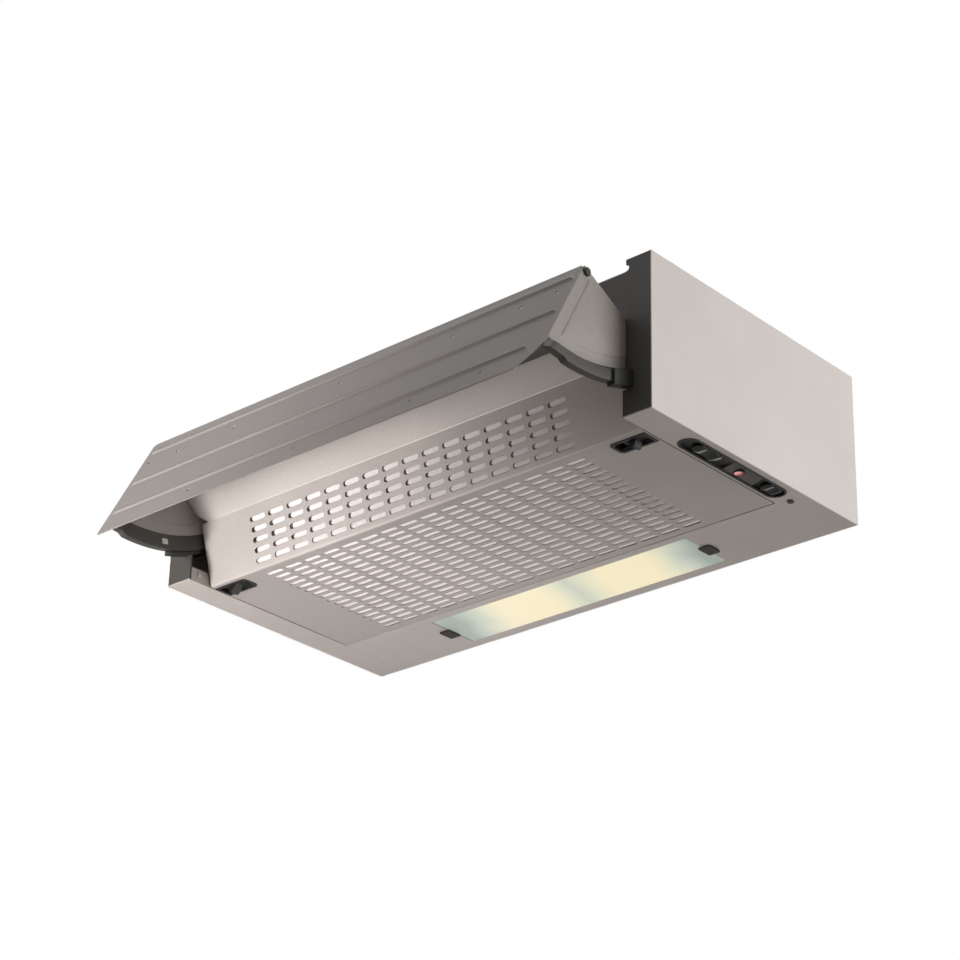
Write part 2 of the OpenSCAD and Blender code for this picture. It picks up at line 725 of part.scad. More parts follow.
// The housing's section: a spiral that grows from the tongue and ends in an upright throat
function spiral(t, from) = [for (a = [from:10:sweep]) let (r = scroll_radius(a) + t)
    [fan_y + r*cos(tongue_angle + a), fan_z + r*sin(tongue_angle + a)]];
module scroll_inside() polygon(concat([[throat_y0, case_h]], spiral(0, 0), [[throat_y1, case_h]]));
module scroll_outside() polygon(concat([[throat_y0 - scroll_t, collar_z0]], spiral(scroll_t, 10),
    [[throat_y1 + scroll_t, collar_z0]]));

// One half of the housing: spiral wall, side wall with its inlet, and a flange under the collar's
module scroll_half() difference() {
    union() {
        along_x(0, scroll_x) scroll_outside();
        block([0, outlet_y - neck_flange_x, neck_z0], [neck_flange_x, outlet_y + neck_flange_x, collar_z0]);
    }
    along_x(-cut, scroll_x - scroll_t) scroll_inside();
    translate([0, fan_y, fan_z]) rod_x(scroll_x - 2*scroll_t, scroll_x + cut, inlet_r);
    collar_screw_holes();
}

module scroll_right() color("#4b4b48") casing_place() scroll_half();
module scroll_left() color("#4b4b48") casing_place() on_left() scroll_half();

// A finger guard over the free inlet: three rings on three bars
module inlet_guard() color("#2f2f2d") casing_place() translate([0, fan_y, fan_z])
    rotate([90, 0, 90]) translate([0, 0, -scroll_x - scroll_t]) linear_extrude(scroll_t) {
        for (r = [inlet_r + scroll_t, inlet_r*0.68, inlet_r*0.36]) difference() {
            circle(r + scroll_t);
            circle(r - scroll_t/2);
        }
        for (a = [0:60:120]) rotate(a) square([2*inlet_r + 2*scroll_t, scroll_t], center = true);
    }

// The impeller: hub plate, bladed drum and two end rings on the shaft
module impeller() color("#6b6a66") casing_place() translate([0, fan_y, fan_z]) difference() {
    union() {
        rod_x(-scroll_t, scroll_t/2, impeller_r);
        rod_x(-2*bush_r, 0, 1.5*bush_r);
        rotate([90, 0, 90]) translate([0, 0, -impeller_x]) linear_extrude(2*impeller_x)
            for (i = [0:blades - 1]) rotate(360*i/blades) translate([impeller_r - blade_d/2, 0])
                rotate(30) square([blade_d, blade_t], center = true);
        for (x = [-impeller_x, impeller_x - scroll_t]) difference() {
            rod_x(x, x + scroll_t, impeller_r);
            rod_x(x - cut, x + scroll_t + cut, impeller_r - blade_d*0.4);
        }
    }
    rod_x(-impeller_x, impeller_x, shaft_r + hole_fit/2);
}

module motor_shaft() color("#c9c6c2") casing_place() translate([0, fan_y, fan_z])
    rod_x(-2*bush_r - shaft_r, motor_x1 + shaft_r, shaft_r);

module motor_body() color("#8d8a86") casing_place() translate([0, fan_y, fan_z]) difference() {
    union() {
        rod_x(motor_x0, motor_x1, motor_r);
        rod_x(motor_x0 - scroll_t, motor_x0, 2*bush_r);
    }
    rod_x(motor_x0 - 2*scroll_t, motor_x1 + cut, bush_r);
}

module motor_bushes() color("#b08d4c") casing_place() translate([0, fan_y, fan_z])
    for (x = [motor_x0, motor_x1 - bush_r]) difference() {
        rod_x(x, x + bush_r, bush_r);
        rod_x(x - cut, x + bush_r + cut, shaft_r + run_fit);
    }

// Three arms carry the motor over the right inlet
module motor_bracket() color("#a9a6a1") casing_place() translate([0, fan_y, fan_z]) difference() {
    union() {
        rod_x(motor_x1, motor_x1 + scroll_t, motor_r*0.7);
        for (a = [90, 210, 330]) rotate([a, 0, 0])
            block([motor_x1, 0, -bush_r], [motor_x1 + scroll_t, inlet_r + 3*scroll_t, bush_r]);
    }
    rod_x(motor_x1 - cut, motor_x1 + scroll_t + cut, bush_r);
}

// The junction box: open to the top panel and to its lid
module junction_box() color("#55534f") casing_place() difference() {
    block([-box_x, box_y0 + box_t, box_z0], [-box_x + box_size.x, rear_y, under_top]);
    block([-box_x + box_t, box_y0, box_z0 + box_t], [-box_x + box_size.x - box_t, rear_y - box_t, case_h]);
    translate([0, loom_y, loom_z]) rod_x(-box_x + box_size.x - 2*box_t, -box_x + box_size.x + cut, loom_r + hole_fit);
}

module junction_lid() color("#4a4845") casing_place() {
    block([-box_x, box_y0, box_z0], [-box_x + box_size.x, box_y0 + box_t, under_top]);
    for (x = [-box_x + 3*box_t, -box_x + box_size.x - 3*box_t]) translate([x, box_y0, box_z0 + box_size.z/2])
        rotate([90, 0, 0]) cylinder(h = box_t/2, r = 1.5*box_t);
}

// The gland snaps up through the top panel from the junction box, with its flange below
module cable_gland() color("#2b2b2b") casing_place() translate([gland_x, gland_y, 0]) difference() {
    union() {
        translate([0, 0, under_top - gland_h*0.15]) cylinder(h = gland_h*0.15, r = gland_r*1.3);
        translate([0, 0, under_top - gland_h*0.15]) cylinder(h = gland_h + sheet, r = gland_r);
        translate([0, 0, under_top - gland_h*0.4]) cylinder(h = gland_h*1.4 + sheet, r = gland_r*0.7);
    }
    cylinder(h = case_h + gland_h + cut, r = gland_bore_r);
}

module motor_capacitor() color("#d8d4cd") casing_place()
    translate([-box_x + box_size.x/2, gland_y, box_z0 + box_t + slide_gap + capacitor_r])
    rod_x(-capacitor_l/2, capacitor_l/2, capacitor_r);

// The loom: along the rear, down the right rear corner and forward to the switches
module wiring_loom() color("#3a3a38") casing_place() {
    run([-box_x + box_size.x - box_t, loom_y, loom_z], [loom_x, loom_y, loom_z], loom_r);
    bend([loom_x, loom_y, loom_z], loom_r);
    run([loom_x, loom_y, loom_low], [loom_x, loom_y, loom_z], loom_r);
    bend([loom_x, loom_y, loom_low], loom_r);
    run([loom_x, loom_front, loom_low], [loom_x, loom_y, loom_low], loom_r);
    run([lamp_lead_share*half_w, loom_y, reflector_h], [lamp_lead_share*half_w, loom_y, loom_z], lead_r);
    run([motor_lead_share*half_w, fan_y, loom_z], [motor_lead_share*half_w, loom_y, loom_z], lead_r);
    bend([motor_lead_share*half_w, fan_y, loom_z], lead_r);
    run([motor_lead_share*half_w, fan_y, fan_z + motor_r*0.45], [motor_lead_share*half_w, fan_y, loom_z], lead_r);
    bend([motor_lead_share*half_w, fan_y, fan_z + motor_r*0.45], lead_r);
    run([motor_x1 + scroll_t, fan_y, fan_z + motor_r*0.45],
        [motor_lead_share*half_w, fan_y, fan_z + motor_r*0.45], lead_r);
}

// A straight stretch along one axis, and the ball that turns it
module run(from, to, r) {
    d = to - from;
    translate(from) rotate(d.x != 0 ? [0, 90, 0] : d.y != 0 ? [-90, 0, 0] : [0, 0, 0]) cylinder(h = norm(d), r = r);
}
module bend(at, r) translate(at) sphere(r);

// The recess's outline, drawn in from its rim
module bezel_outline(inset) translate([bezel_mid, bezel_y + bezel_l/2]) rotate(90)
    slot_shape(bezel_l - 2*inset, bezel_w - 2*inset);

module panel_screw_place() translate([bezel_mid, panel_screw_y, 0]) children();

// The control recess: rim, scooped roof, stem slots, the indicator's hole and a screwed tab
module control_bezel() color("#1d1b18") casing_place() difference() {
    union() {
        translate([0, 0, -bezel_rim]) linear_extrude(bezel_rim) bezel_outline(0);
        linear_extrude(bezel_top) bezel_outline(sheet);
        block([bezel_mid - 2*panel_screw_r, bezel_y + bezel_l - bezel_w/2, sheet],
            [bezel_mid + 2*panel_screw_r, panel_screw_y + 2*panel_screw_r, bezel_top]);
    }
    translate([0, 0, -bezel_rim - cut]) linear_extrude(bezel_rim + cut + bezel_depth) bezel_outline(2*sheet);
    stem_slot(fan_knob_y + fan_knob_l/2, 0, fan_way);
    stem_slot(light_knob_y + light_knob_l/2, -light_way, 0);
    translate([lamp_dot_x, lamp_dot_y, 0]) cylinder(h = bezel_top + cut, r = lamp_dot_r + hole_fit);
    panel_screw_place() cylinder(h = bezel_top + cut, r = panel_screw_r/2 + hole_fit);
}

// The slot that a stem needs, from its place at rest to both ends of its way
module stem_slot(y, back, forth)
    block([bezel_mid - stem_w/2 - slide_gap, y - stem_l/2 + back - slide_gap, 0],
        [bezel_mid + stem_w/2 + slide_gap, y + stem_l/2 + forth + slide_gap, stem_top + slide_gap]);

module indicator_lens() color("#b0505a") casing_place() translate([lamp_dot_x, lamp_dot_y, 0])
    cylinder(h = bezel_top, r = lamp_dot_r);

// A slider: plate, two ribs for the finger and a stem into its switch
module knob(y, l) {
    z1 = bezel_depth - slide_gap/2;
    translate([bezel_mid, y + l/2, z1 - knob_t]) rotate(90) linear_extrude(knob_t) slot_shape(l, knob_w);
    for (s = [0.25, 0.75]) translate([bezel_mid, y + s*l, z1 - knob_t - knob_rib])
        cylinder(h = knob_t + knob_rib, r = knob_w*0.36);
    block([bezel_mid - stem_w/2, y + l/2 - stem_l/2, z1 - knob_t],
        [bezel_mid + stem_w/2, y + l/2 + stem_l/2, stem_top]);
}

module fan_slider() color("#161513") casing_place() knob(fan_knob_y, fan_knob_l);
module light_slider() color("#161513") casing_place() knob(light_knob_y, light_knob_l);

// Two switch housings on the recess's roof
module switch_unit() color("#e4e0d8") casing_place() difference() {
    union() {
        block([switch_x[0], fan_knob_y, bezel_top],
            [switch_x[1], fan_knob_y + fan_knob_l + fan_way, bezel_top + switch_h]);
        block([switch_x[0], light_knob_y - light_way, bezel_top],
            [switch_x[1], light_knob_y + light_knob_l + light_way, bezel_top + switch_h]);
    }
    stem_slot(fan_knob_y + fan_knob_l/2, 0, fan_way);
    stem_slot(light_knob_y + light_knob_l/2, -light_way, 0);
}

module panel_screw() color("#2a2622") casing_place() panel_screw_place() {
    translate([0, 0, -panel_screw_r/2]) cylinder(h = panel_screw_r/2, r = panel_screw_r);
    cylinder(h = bezel_top, r = panel_screw_r/2);
}

// The reflector: a tray over the glass. Its long walls stand on the sheet, its ends clear the clips
module lamp_reflector() color("#c9ccce") casing_place() {
    block([-reflector_x, reflector_y0, reflector_h - reflector_t], [reflector_x, reflector_y1, reflector_h]);
    for (y = [reflector_y0, reflector_y1 - reflector_t])
        block([-reflector_x, y, sheet], [reflector_x, y + reflector_t, reflector_h]);
    for (x = [-reflector_x, reflector_x - reflector_t])
        block([x, reflector_y0, lens_t + slide_gap], [x + reflector_t, reflector_y1, reflector_h]);
}

module lampholders() color("#e9e6df") casing_place() on_both_sides() translate([0, lens_y, bulb_z]) difference() {
    rod_x(holder_x0, holder_x1, holder_r);
    rod_x(holder_x0 - cut, holder_x1 - 2*sheet, cap_r + slide_gap);
}

// A bulb lies in each holder: screw cap, neck and round end, turned about its own axis
module bulbs() color("#fff1d0") casing_place() on_both_sides()
    translate([holder_x1 - 3*sheet, lens_y, bulb_z]) rotate([0, -90, 0]) {
        ball = cap_l + bulb_l - bulb_r;
        rotate_extrude() polygon(concat([[0, 0], [cap_r, 0], [cap_r, cap_l]],
            [for (a = [-20:10:80]) [bulb_r*cos(a), ball + bulb_r*sin(a)]], [[0, ball + bulb_r]]));
    }

module lamp_lens() color("#f6e9c4") casing_place() block([-lens_x, lens_y0, 0], [lens_x, lens_y1, lens_t]);

// A lens clip: block under the glass's end, stem through the sheet and foot on top of it
clip_stem_l = 0.65*clip_l;
clip_x0 = lens_x - clip_bite;
clip_x1 = clip_x0 + clip_w;
clip_stem_x0 = lens_x + 2*lens_room;
clip_stem_x1 = clip_x1 - 3*lens_room;
module lens_clip() {
    block([clip_x0, lens_y - clip_l/2, -clip_h], [clip_x1, lens_y + clip_l/2, -slide_gap]);
    block([clip_stem_x0, lens_y - clip_stem_l/2, -clip_h], [clip_stem_x1, lens_y + clip_stem_l/2, sheet + slide_gap]);
    block([lens_x + lens_room, lens_y - clip_l/2, sheet + slide_gap],
        [clip_x1, lens_y + clip_l/2, sheet + slide_gap + clip_foot_t]);
}

module right_lens_clip() color("#1d1b18") casing_place() lens_clip();
module left_lens_clip() color("#1d1b18") casing_place() on_left() lens_clip();

// A pin's head has a flat underneath that lies on the rail and keeps the pin from turning
module hinge_pins() color("#c9c6c2") casing_place() on_both_sides() difference() {
    translate([0, hinge_y, knuckle_r]) {
        rod_x(grille_x - pin_l, rail_x + sheet + pin_head_h, pin_r);
        rod_x(rail_x + sheet, rail_x + sheet + pin_head_h, 0.9*knuckle_r);
    }
    block([rail_x, hinge_y - knuckle_r, 0], [inner_x, hinge_y + knuckle_r, sheet]);
}

// The slots of the bottom and of the leaning face, each drawn flat
module slot_rows(rows) for (i = [0:slot_columns - 1], j = [0:rows - 1])
    translate([(i - (slot_columns - 1)/2)*slot_pitch_x - slot_shift, j*slot_pitch_y]) slot_shape(slot_l, slot_w);

// Puts a drawing's y axis along the leaning face, from the fold up
module on_face() translate([0, fold_y, 0]) rotate([90 + face_lean, 0, 0]) children();

// The grille: folded sheet, slots, two side walls and the knuckles at its rear corners
module grille_panel() color("#b9b2ad") casing_place() difference() {
    union() {
        along_x(-grille_x, grille_x) folded_sheet(grille_path, grille_t);
        on_both_sides() along_x(latch_x1, grille_x) grille_wall();
        on_both_sides() translate([0, hinge_y, knuckle_r]) rod_x(grille_x - 1.2*pin_l, grille_x, knuckle_r);
    }
    translate([0, fold_y + bottom_margin, -cut]) linear_extrude(grille_t + 2*cut) slot_rows(bottom_rows);
    on_face() translate([0, face_margin, -grille_t - cut]) linear_extrude(grille_t + 2*cut) slot_rows(face_rows);
    on_both_sides() translate([0, hinge_y, knuckle_r]) rod_x(grille_x - 2*pin_l, grille_x + cut, pin_r + run_fit);
    on_both_sides() translate([0, 0, -cut]) linear_extrude(grille_t + 2*cut) latch_outline(sheet);
    on_both_sides() tongue_window(grille_x - grille_t - cut, grille_x + cut);
    on_both_sides() lip_corner();
}

// A side wall runs along the bottom and up behind the face
module grille_wall() {
    depth = 0.9*wall_h;
    corner_y = fold_y + (depth - wall_h*sin(face_lean))/cos(face_lean);
    polygon([[fold_y, 0], [wall_back_y, 0], [wall_back_y, wall_h], [corner_y, wall_h],
        fold_top + depth*face_in, fold_top]);
}

// The triangle cut from the lip's corner, through the lip only
module lip_corner() translate([0, fold_top[0], fold_top[1]]) rotate([-lip_rise, 0, 0]) translate([0, 0, -cut])
    linear_extrude(grille_t + 2*cut) polygon([[grille_x + cut, grille_t/2], [grille_x - lip_relief, grille_t/2],
        [grille_x - lip_relief, -grille_t/2], [grille_x + cut, -lip_relief - cut]]);

module bottom_filter() color("#e6dedd") casing_place()
    block([-fleece_x, fold_y + bottom_margin - slot_w, grille_t + slide_gap],
        [fleece_x, hinge_y - 2*knuckle_r, grille_t + slide_gap + fleece_t]);

module front_filter() color("#e6dedd") casing_place() on_face()
    block([-fleece_x, fleece_t, -grille_t - slide_gap - 0.85*fleece_t],
        [fleece_x, face_l - fleece_t/2, -grille_t - slide_gap]);

// Three wires across the grille hold the fleece, two over the bottom and one behind the face
module filter_wires() color("#bfbcb8") casing_place() {
    for (s = [0.35, 0.8]) translate([0, s*hinge_y, grille_t + 2*slide_gap + fleece_t + wire_r])
        rod_x(-latch_x1, latch_x1, wire_r);
    on_face() translate([0, face_l/2, -grille_t - 2*slide_gap - 0.85*fleece_t - wire_r])
        rod_x(-latch_x1, latch_x1, wire_r);
}

// A latch cup's outline, drawn in from its rim, with cut inner corners
module latch_outline(inset) {
    x0 = latch_x0 + inset;
    x1 = latch_x1 - inset;
    y0 = latch_y - latch_w/2 + inset;
    y1 = latch_y + latch_w/2 - inset;
    polygon([[x1, y0], [x1, y1], [x0 + latch_nose, y1], [x0, y1 - latch_nose], [x0, y0 + latch_nose],
        [x0 + latch_nose, y0]]);
}

module tongue_window(from, to)
    block([from, latch_y - tongue_w/2 - slide_gap, tongue_z - slide_gap],
        [to, latch_y + tongue_w/2 + slide_gap, tongue_z + tongue_t + slide_gap]);

// A latch cup: rim, body, two ledges that carry the slider and the tongue's window
module latch_cup() {
    difference() {
        union() {
            translate([0, 0, -latch_rim]) linear_extrude(latch_rim) latch_outline(0);
            linear_extrude(latch_h) latch_outline(latch_body_in);
        }
        translate([0, 0, -latch_rim - cut]) linear_extrude(latch_rim + cut + latch_h - latch_wall)
            latch_outline(latch_hollow_in);
        tongue_window(latch_x1 - 2*latch_hollow_in, latch_x1);
    }
    for (s = [-1, 1]) intersection() {
        linear_extrude(latch_h) latch_outline(latch_body_in);
        block([latch_x0, latch_y + s*(latch_w/2 - latch_hollow_in - latch_ledge/2) - latch_ledge/2, ledge_z[0]],
            [latch_x1, latch_y + s*(latch_w/2 - latch_hollow_in - latch_ledge/2) + latch_ledge/2, ledge_z[1]]);
    }
}

module latch_cups() color("#1d1b18") casing_place() on_both_sides() latch_cup();

// A latch slider: body on the ledges, tongue towards the rail and a wedge-shaped knob
module latch_slider() {
    translate([0, 0, ledge_z[1]]) linear_extrude(bolt_t) polygon([[bolt_x1, latch_y - bolt_half],
        [bolt_x1, latch_y + bolt_half], [bolt_x0 + latch_nose, latch_y + bolt_half],
        [bolt_x0, latch_y + bolt_half - latch_nose], [bolt_x0, latch_y - bolt_half + latch_nose],
        [bolt_x0 + latch_nose, latch_y - bolt_half]]);
    block([bolt_x1 - latch_wall, latch_y - tongue_w/2, tongue_z],
        [tongue_x, latch_y + tongue_w/2, tongue_z + tongue_t]);
    knob_half = bolt_half - latch_ledge - slide_gap;
    translate([0, latch_y + knob_half, 0]) rotate([90, 0, 0]) linear_extrude(2*knob_half)
        polygon([[bolt_x0 + 0.25*bolt_l, ledge_z[1]], [bolt_x0 + 0.7*bolt_l, ledge_z[1]],
            [bolt_x0 + 0.62*bolt_l, -knob_drop], [bolt_x0 + 0.5*bolt_l, -knob_drop]]);
}

module right_latch_slider() color("#161513") casing_place() latch_slider();
module left_latch_slider() color("#161513") casing_place() on_left() latch_slider();

// Shapes of the visor are written for the closed visor and swung open
module visor_place() casing_place() swung_open() children();

// The visor's sheet with its cut corners, three beads and the door-fixing holes
module visor_panel() color("#8f8883") visor_place() {
    difference() {
        translate([0, visor_back, 0]) rotate([90, 0, 0]) linear_extrude(visor_t) visor_outline();
        for (s = upper_hole_shares) door_hole(s*visor_x - door_hole_shift, upper_hole_share);
        for (s = lower_hole_shares) door_hole(s*visor_x, lower_hole_share);
    }
    for (i = [0:len(bead_shares) - 1])
        bead(bead_end_shares[i][0]*visor_x, bead_end_shares[i][1]*visor_x, visor_top - bead_shares[i]*visor_h);
}

module visor_outline() polygon([[-visor_x, visor_foot + visor_nick], [-visor_x + visor_nick, visor_foot],
    [visor_x - visor_cut, visor_foot], [visor_x, visor_foot + visor_cut], [visor_x, visor_top - visor_nick],
    [visor_x - visor_nick, visor_top], [-visor_x + visor_nick, visor_top], [-visor_x, visor_top - visor_nick]]);

module door_hole(x, share) translate([x, visor_face, visor_top - share*visor_h]) rotate([90, 0, 0])
    cylinder(h = 4*visor_t, r = door_hole_r, center = true);

// A bead: the part of a round bar that stands in front of the sheet, with round ends
module bead(from, to, z) {
    bead_r = (bead_w*bead_w/4 + bead_h*bead_h)/(2*bead_h);
    intersection() {
        union() translate([0, visor_face + bead_r - bead_h, z]) {
            rod_x(from + bead_w/2, to - bead_w/2, bead_r);
            for (x = [from + bead_w/2, to - bead_w/2]) translate([x, 0, 0]) sphere(bead_r);
        }
        block([from - bead_w, visor_face - bead_w, z - bead_w], [to + bead_w, visor_face + visor_t/2, z + bead_w]);
    }
}

// A folded channel behind the visor's top edge
module visor_stiffener() color("#8f8883") visor_place() along_x(-cheek_x + bracket_leg, cheek_x - bracket_leg)
    folded_sheet([[visor_back + stiffener_d, visor_top - stiffener_d/2], [visor_back + stiffener_d, visor_top],
        [visor_back, visor_top], [visor_back, visor_top - stiffener_h]], visor_t);

// A cheek: a sector of sheet with a flat panel pressed outwards
module cheek() difference() {
    union() {
        along_x(cheek_x, visor_x) intersection() {
            swing_ring(cheek_t, cheek_r);
            behind_visor(visor_back, visor_top);
        }
        along_x(visor_x - cheek_t/2, visor_x + panel_h) intersection() {
            swing_ring(cheek_t, cheek_r - panel_edge);
            behind_visor(visor_back + panel_front, visor_top - panel_top);
        }
    }
    buffer_place() rod_x(cheek_x - cut, visor_x + cut, buffer_r/2 + hole_fit);
}

module buffer_place() translate([0, visor_back + buffer_r + slide_gap, visor_top - buffer_r + slide_gap]) children();

module right_cheek() color("#a39b95") visor_place() cheek();
module left_cheek() color("#a39b95") visor_place() on_left() cheek();

module at_brackets() for (s = bracket_shares) translate([0, 0, visor_foot + s*visor_h]) children();

// Angle brackets, spot-welded to the visor's sheet and its cheeks
module cheek_brackets() color("#a9a6a1") visor_place() on_both_sides() at_brackets() linear_extrude(bracket_l)
    polygon([[cheek_x - bracket_leg, visor_back], [cheek_x, visor_back],
        [cheek_x, visor_back + bracket_leg], [cheek_x - cheek_t, visor_back + bracket_leg],
        [cheek_x - cheek_t, visor_back + cheek_t], [cheek_x - bracket_leg, visor_back + cheek_t]]);

// A runner: a curved band about the swing axis, slimmer at its front, with a stop under its rear part
module runner() along_x(visor_x, runner_x) {
    intersection() {
        swing_ring(runner_r, runner_end_r - runner_step);
        behind_visor(visor_back, visor_top);
    }
    intersection() {
        swing_ring(runner_r, runner_end_r);
        behind_visor(visor_back, visor_top);
        swing_sector(runner_step_angle, 90);
    }
    intersection() {
        swing_ring(runner_end_r - shoe_t, shoe_end_r);
        swing_sector(stop_front_angle, stop_front_angle + stop_width_angle);
    }
}

// The sector between two angles behind straight down
module swing_sector(from, to) polygon([[axis_y, axis_z], for (a = [from, to])
    [axis_y + 2*cheek_r*sin(a), axis_z - 2*cheek_r*cos(a)]]);

module right_runner() color("#3c3a36") visor_place() runner();
module left_runner() color("#3c3a36") visor_place() on_left() runner();

// Small plates inside the cheeks that hold the runners
module runner_clips() color("#c9c6c2") visor_place() on_both_sides() for (a = clip_angles)
    translate([0, axis_y, axis_z]) rotate([a, 0, 0]) translate([0, 0, -(cheek_r + runner_r)/2]) {
        block([cheek_x - runner_clip.z, -runner_clip.x/2, -runner_clip.y/2],
            [cheek_x, runner_clip.x/2, runner_clip.y/2]);
    }

// A buffer: round head outside the cheek, stem through it and a smaller head inside
module corner_buffers() color("#161412") visor_place() on_both_sides() buffer_place() {
    rod_x(visor_x, visor_x + buffer_h, buffer_r);
    rod_x(cheek_x - cheek_t, visor_x + buffer_h, buffer_r/2);
    rod_x(cheek_x - cheek_t, cheek_x, 0.75*buffer_r);
}

left_side_panel();
right_side_panel();
top_panel();
rear_panel();
front_cross_panel();
left_bottom_rail();
lamp_control_panel();
left_front_post();
right_front_post();
runner_guides();
rail_rivets();
outlet_collar();
collar_screws();
damper_rod();
left_damper();
right_damper();
scroll_left();
scroll_right();
inlet_guard();
impeller();
motor_shaft();
motor_body();
motor_bushes();
motor_bracket();
junction_box();
junction_lid();
cable_gland();
motor_capacitor();
wiring_loom();
control_bezel();
indicator_lens();
fan_slider();
light_slider();
switch_unit();
panel_screw();
lamp_reflector();
lampholders();
bulbs();
lamp_lens();
left_lens_clip();
right_lens_clip();
hinge_pins();
grille_panel();
bottom_filter();
front_filter();
filter_wires();
latch_cups();
left_latch_slider();
right_latch_slider();
visor_panel();
visor_stiffener();
left_cheek();
right_cheek();
cheek_brackets();
left_runner();
right_runner();
runner_clips();
corner_buffers();
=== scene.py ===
"""Looks of a built-in range hood with a swing-out visor, seen from below and in front of its right corner."""
from math import asin, atan2, cos, pi, radians, sin, tan

import bmesh
import bpy
import numpy as np
from mathutils import Matrix, Vector


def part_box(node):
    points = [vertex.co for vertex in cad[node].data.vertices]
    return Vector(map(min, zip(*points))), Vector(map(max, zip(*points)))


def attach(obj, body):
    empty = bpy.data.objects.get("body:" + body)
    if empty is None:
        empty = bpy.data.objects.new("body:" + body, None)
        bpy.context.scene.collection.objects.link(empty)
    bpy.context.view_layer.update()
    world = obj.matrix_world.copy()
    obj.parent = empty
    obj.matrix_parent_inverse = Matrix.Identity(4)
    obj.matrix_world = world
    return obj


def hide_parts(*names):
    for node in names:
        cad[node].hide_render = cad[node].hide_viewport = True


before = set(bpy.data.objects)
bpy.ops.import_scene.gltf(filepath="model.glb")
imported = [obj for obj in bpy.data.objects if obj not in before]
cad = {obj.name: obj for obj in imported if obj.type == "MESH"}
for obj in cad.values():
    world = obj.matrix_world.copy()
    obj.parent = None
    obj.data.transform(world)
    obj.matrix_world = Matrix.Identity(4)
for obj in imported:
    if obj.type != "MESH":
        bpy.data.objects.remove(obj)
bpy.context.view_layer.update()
mm = 0.001

# View: the camera stands in front of the hood's right corner, below it, and looks up at the underside.
# It is a long lens, so that the hood's edges stay close to parallel.
scene = bpy.context.scene
scene.view_settings.view_transform = "Standard"
camera = bpy.data.objects.new("camera", bpy.data.cameras.new("camera"))
scene.collection.objects.link(camera)
scene.camera = camera
camera.data.lens = 99.495
camera.data.sensor_width = 36
camera.data.clip_start = 0.05
turn, tilt, lean = radians(42.421), radians(-25.828), radians(1.454)
back = Vector((sin(turn)*cos(tilt), -cos(turn)*cos(tilt), sin(tilt)))
level = (-back).cross(Vector((0, 0, 1))).normalized()
upright = level.cross(-back)
right = cos(lean)*level + sin(lean)*upright
up = cos(lean)*upright - sin(lean)*level
camera_place = (1.51554, -1.69108, -1.17130)
camera.matrix_world = Matrix.Translation(camera_place) @ Matrix((right, up, back)).transposed().to_4x4()

# Room: a pale floor far below the hood, a white surround and soft lamps.
# The front lamp makes the sheen that fades along the grille to the right, the others fill the sides and the top.
world = bpy.data.worlds.new("white room")
scene.world = world
world.use_nodes = True


def linear(hex_colour):
    """Turns an sRGB hex colour to linear light, the standard curve channel by channel."""
    channels = [int(hex_colour[i:i + 2], 16)/255 for i in (1, 3, 5)]
    return tuple(c/12.92 if c <= 0.04045 else ((c + 0.055)/1.055)**2.4 for c in channels) + (1,)


def add(tree, kind, inputs=(), **settings):
    """Adds a shader node; settings are its properties, inputs its values or the outputs linked to it."""
    made = tree.nodes.new("ShaderNode" + kind)
    for name, value in settings.items():
        setattr(made, name, value)
    for socket, value in dict(inputs).items():
        if isinstance(value, bpy.types.NodeSocket):
            tree.links.new(value, made.inputs[socket])
        else:
            made.inputs[socket].default_value = value
    return made


tree = world.node_tree
tree.nodes.clear()
path = add(tree, "LightPath")
seen = add(tree, "Math", {0: path.outputs["Is Camera Ray"], 1: path.outputs["Is Glossy Ray"]}, operation="MAXIMUM")
seen = add(tree, "Math", {0: seen.outputs[0], 1: path.outputs["Is Transmission Ray"]}, operation="MAXIMUM")
room_light = add(tree, "Background", {"Color": linear("#f4f1ee"), "Strength": 0.22})
room_white = add(tree, "Background", {"Color": (1, 1, 1, 1), "Strength": 1})
room = add(tree, "MixShader", {0: seen.outputs[0], 1: room_light.outputs[0], 2: room_white.outputs[0]})
add(tree, "OutputWorld", {"Surface": room.outputs[0]})


def new_material(name):
    """An empty material, and its node tree."""
    material = bpy.data.materials.new(name)
    material.use_nodes = True
    material.node_tree.nodes.clear()
    return material, material.node_tree


def mesh_piece(name, points, faces):
    """A new object from points in metres and faces as lists of point numbers."""
    mesh = bpy.data.meshes.new(name)
    mesh.from_pydata(np.asarray(points).reshape(-1, 3).tolist(), [], [list(map(int, f)) for f in faces])
    piece = bpy.data.objects.new(name, mesh)
    scene.collection.objects.link(piece)
    return piece


floor_paint, tree = new_material("pale floor paint")
seen = add(tree, "Math", {0: add(tree, "LightPath").outputs["Is Camera Ray"], 1: 0.5}, operation="MULTIPLY")
surface = add(tree, "BsdfPrincipled", {"Base Color": linear("#efeeec"), "Roughness": 0.8,
                                       "Emission Color": linear("#efeeec"), "Emission Strength": seen.outputs[0]})
add(tree, "OutputMaterial", {"Surface": surface.outputs[0]})
floor_z, floor_half = -2.6, 9
floor = mesh_piece("floor", [(x*floor_half, y*floor_half, floor_z) for x, y in ((-1, -1), (1, -1), (1, 1), (-1, 1))],
                   [(0, 1, 2, 3)])
floor.data.materials.append(floor_paint)


def soft_lamp(name, place, aim, size, power, spread=pi):
    """A square area lamp at a place, facing a point; its light fades out towards the sides of its spread."""
    lamp = bpy.data.objects.new(name, bpy.data.lights.new(name, "AREA"))
    lamp.data.energy = power
    lamp.data.size = size
    lamp.data.spread = spread
    lamp.location = place
    lamp.visible_camera = False
    lamp.rotation_euler = (Vector(aim) - Vector(place)).to_track_quat("-Z", "Y").to_euler()
    scene.collection.objects.link(lamp)


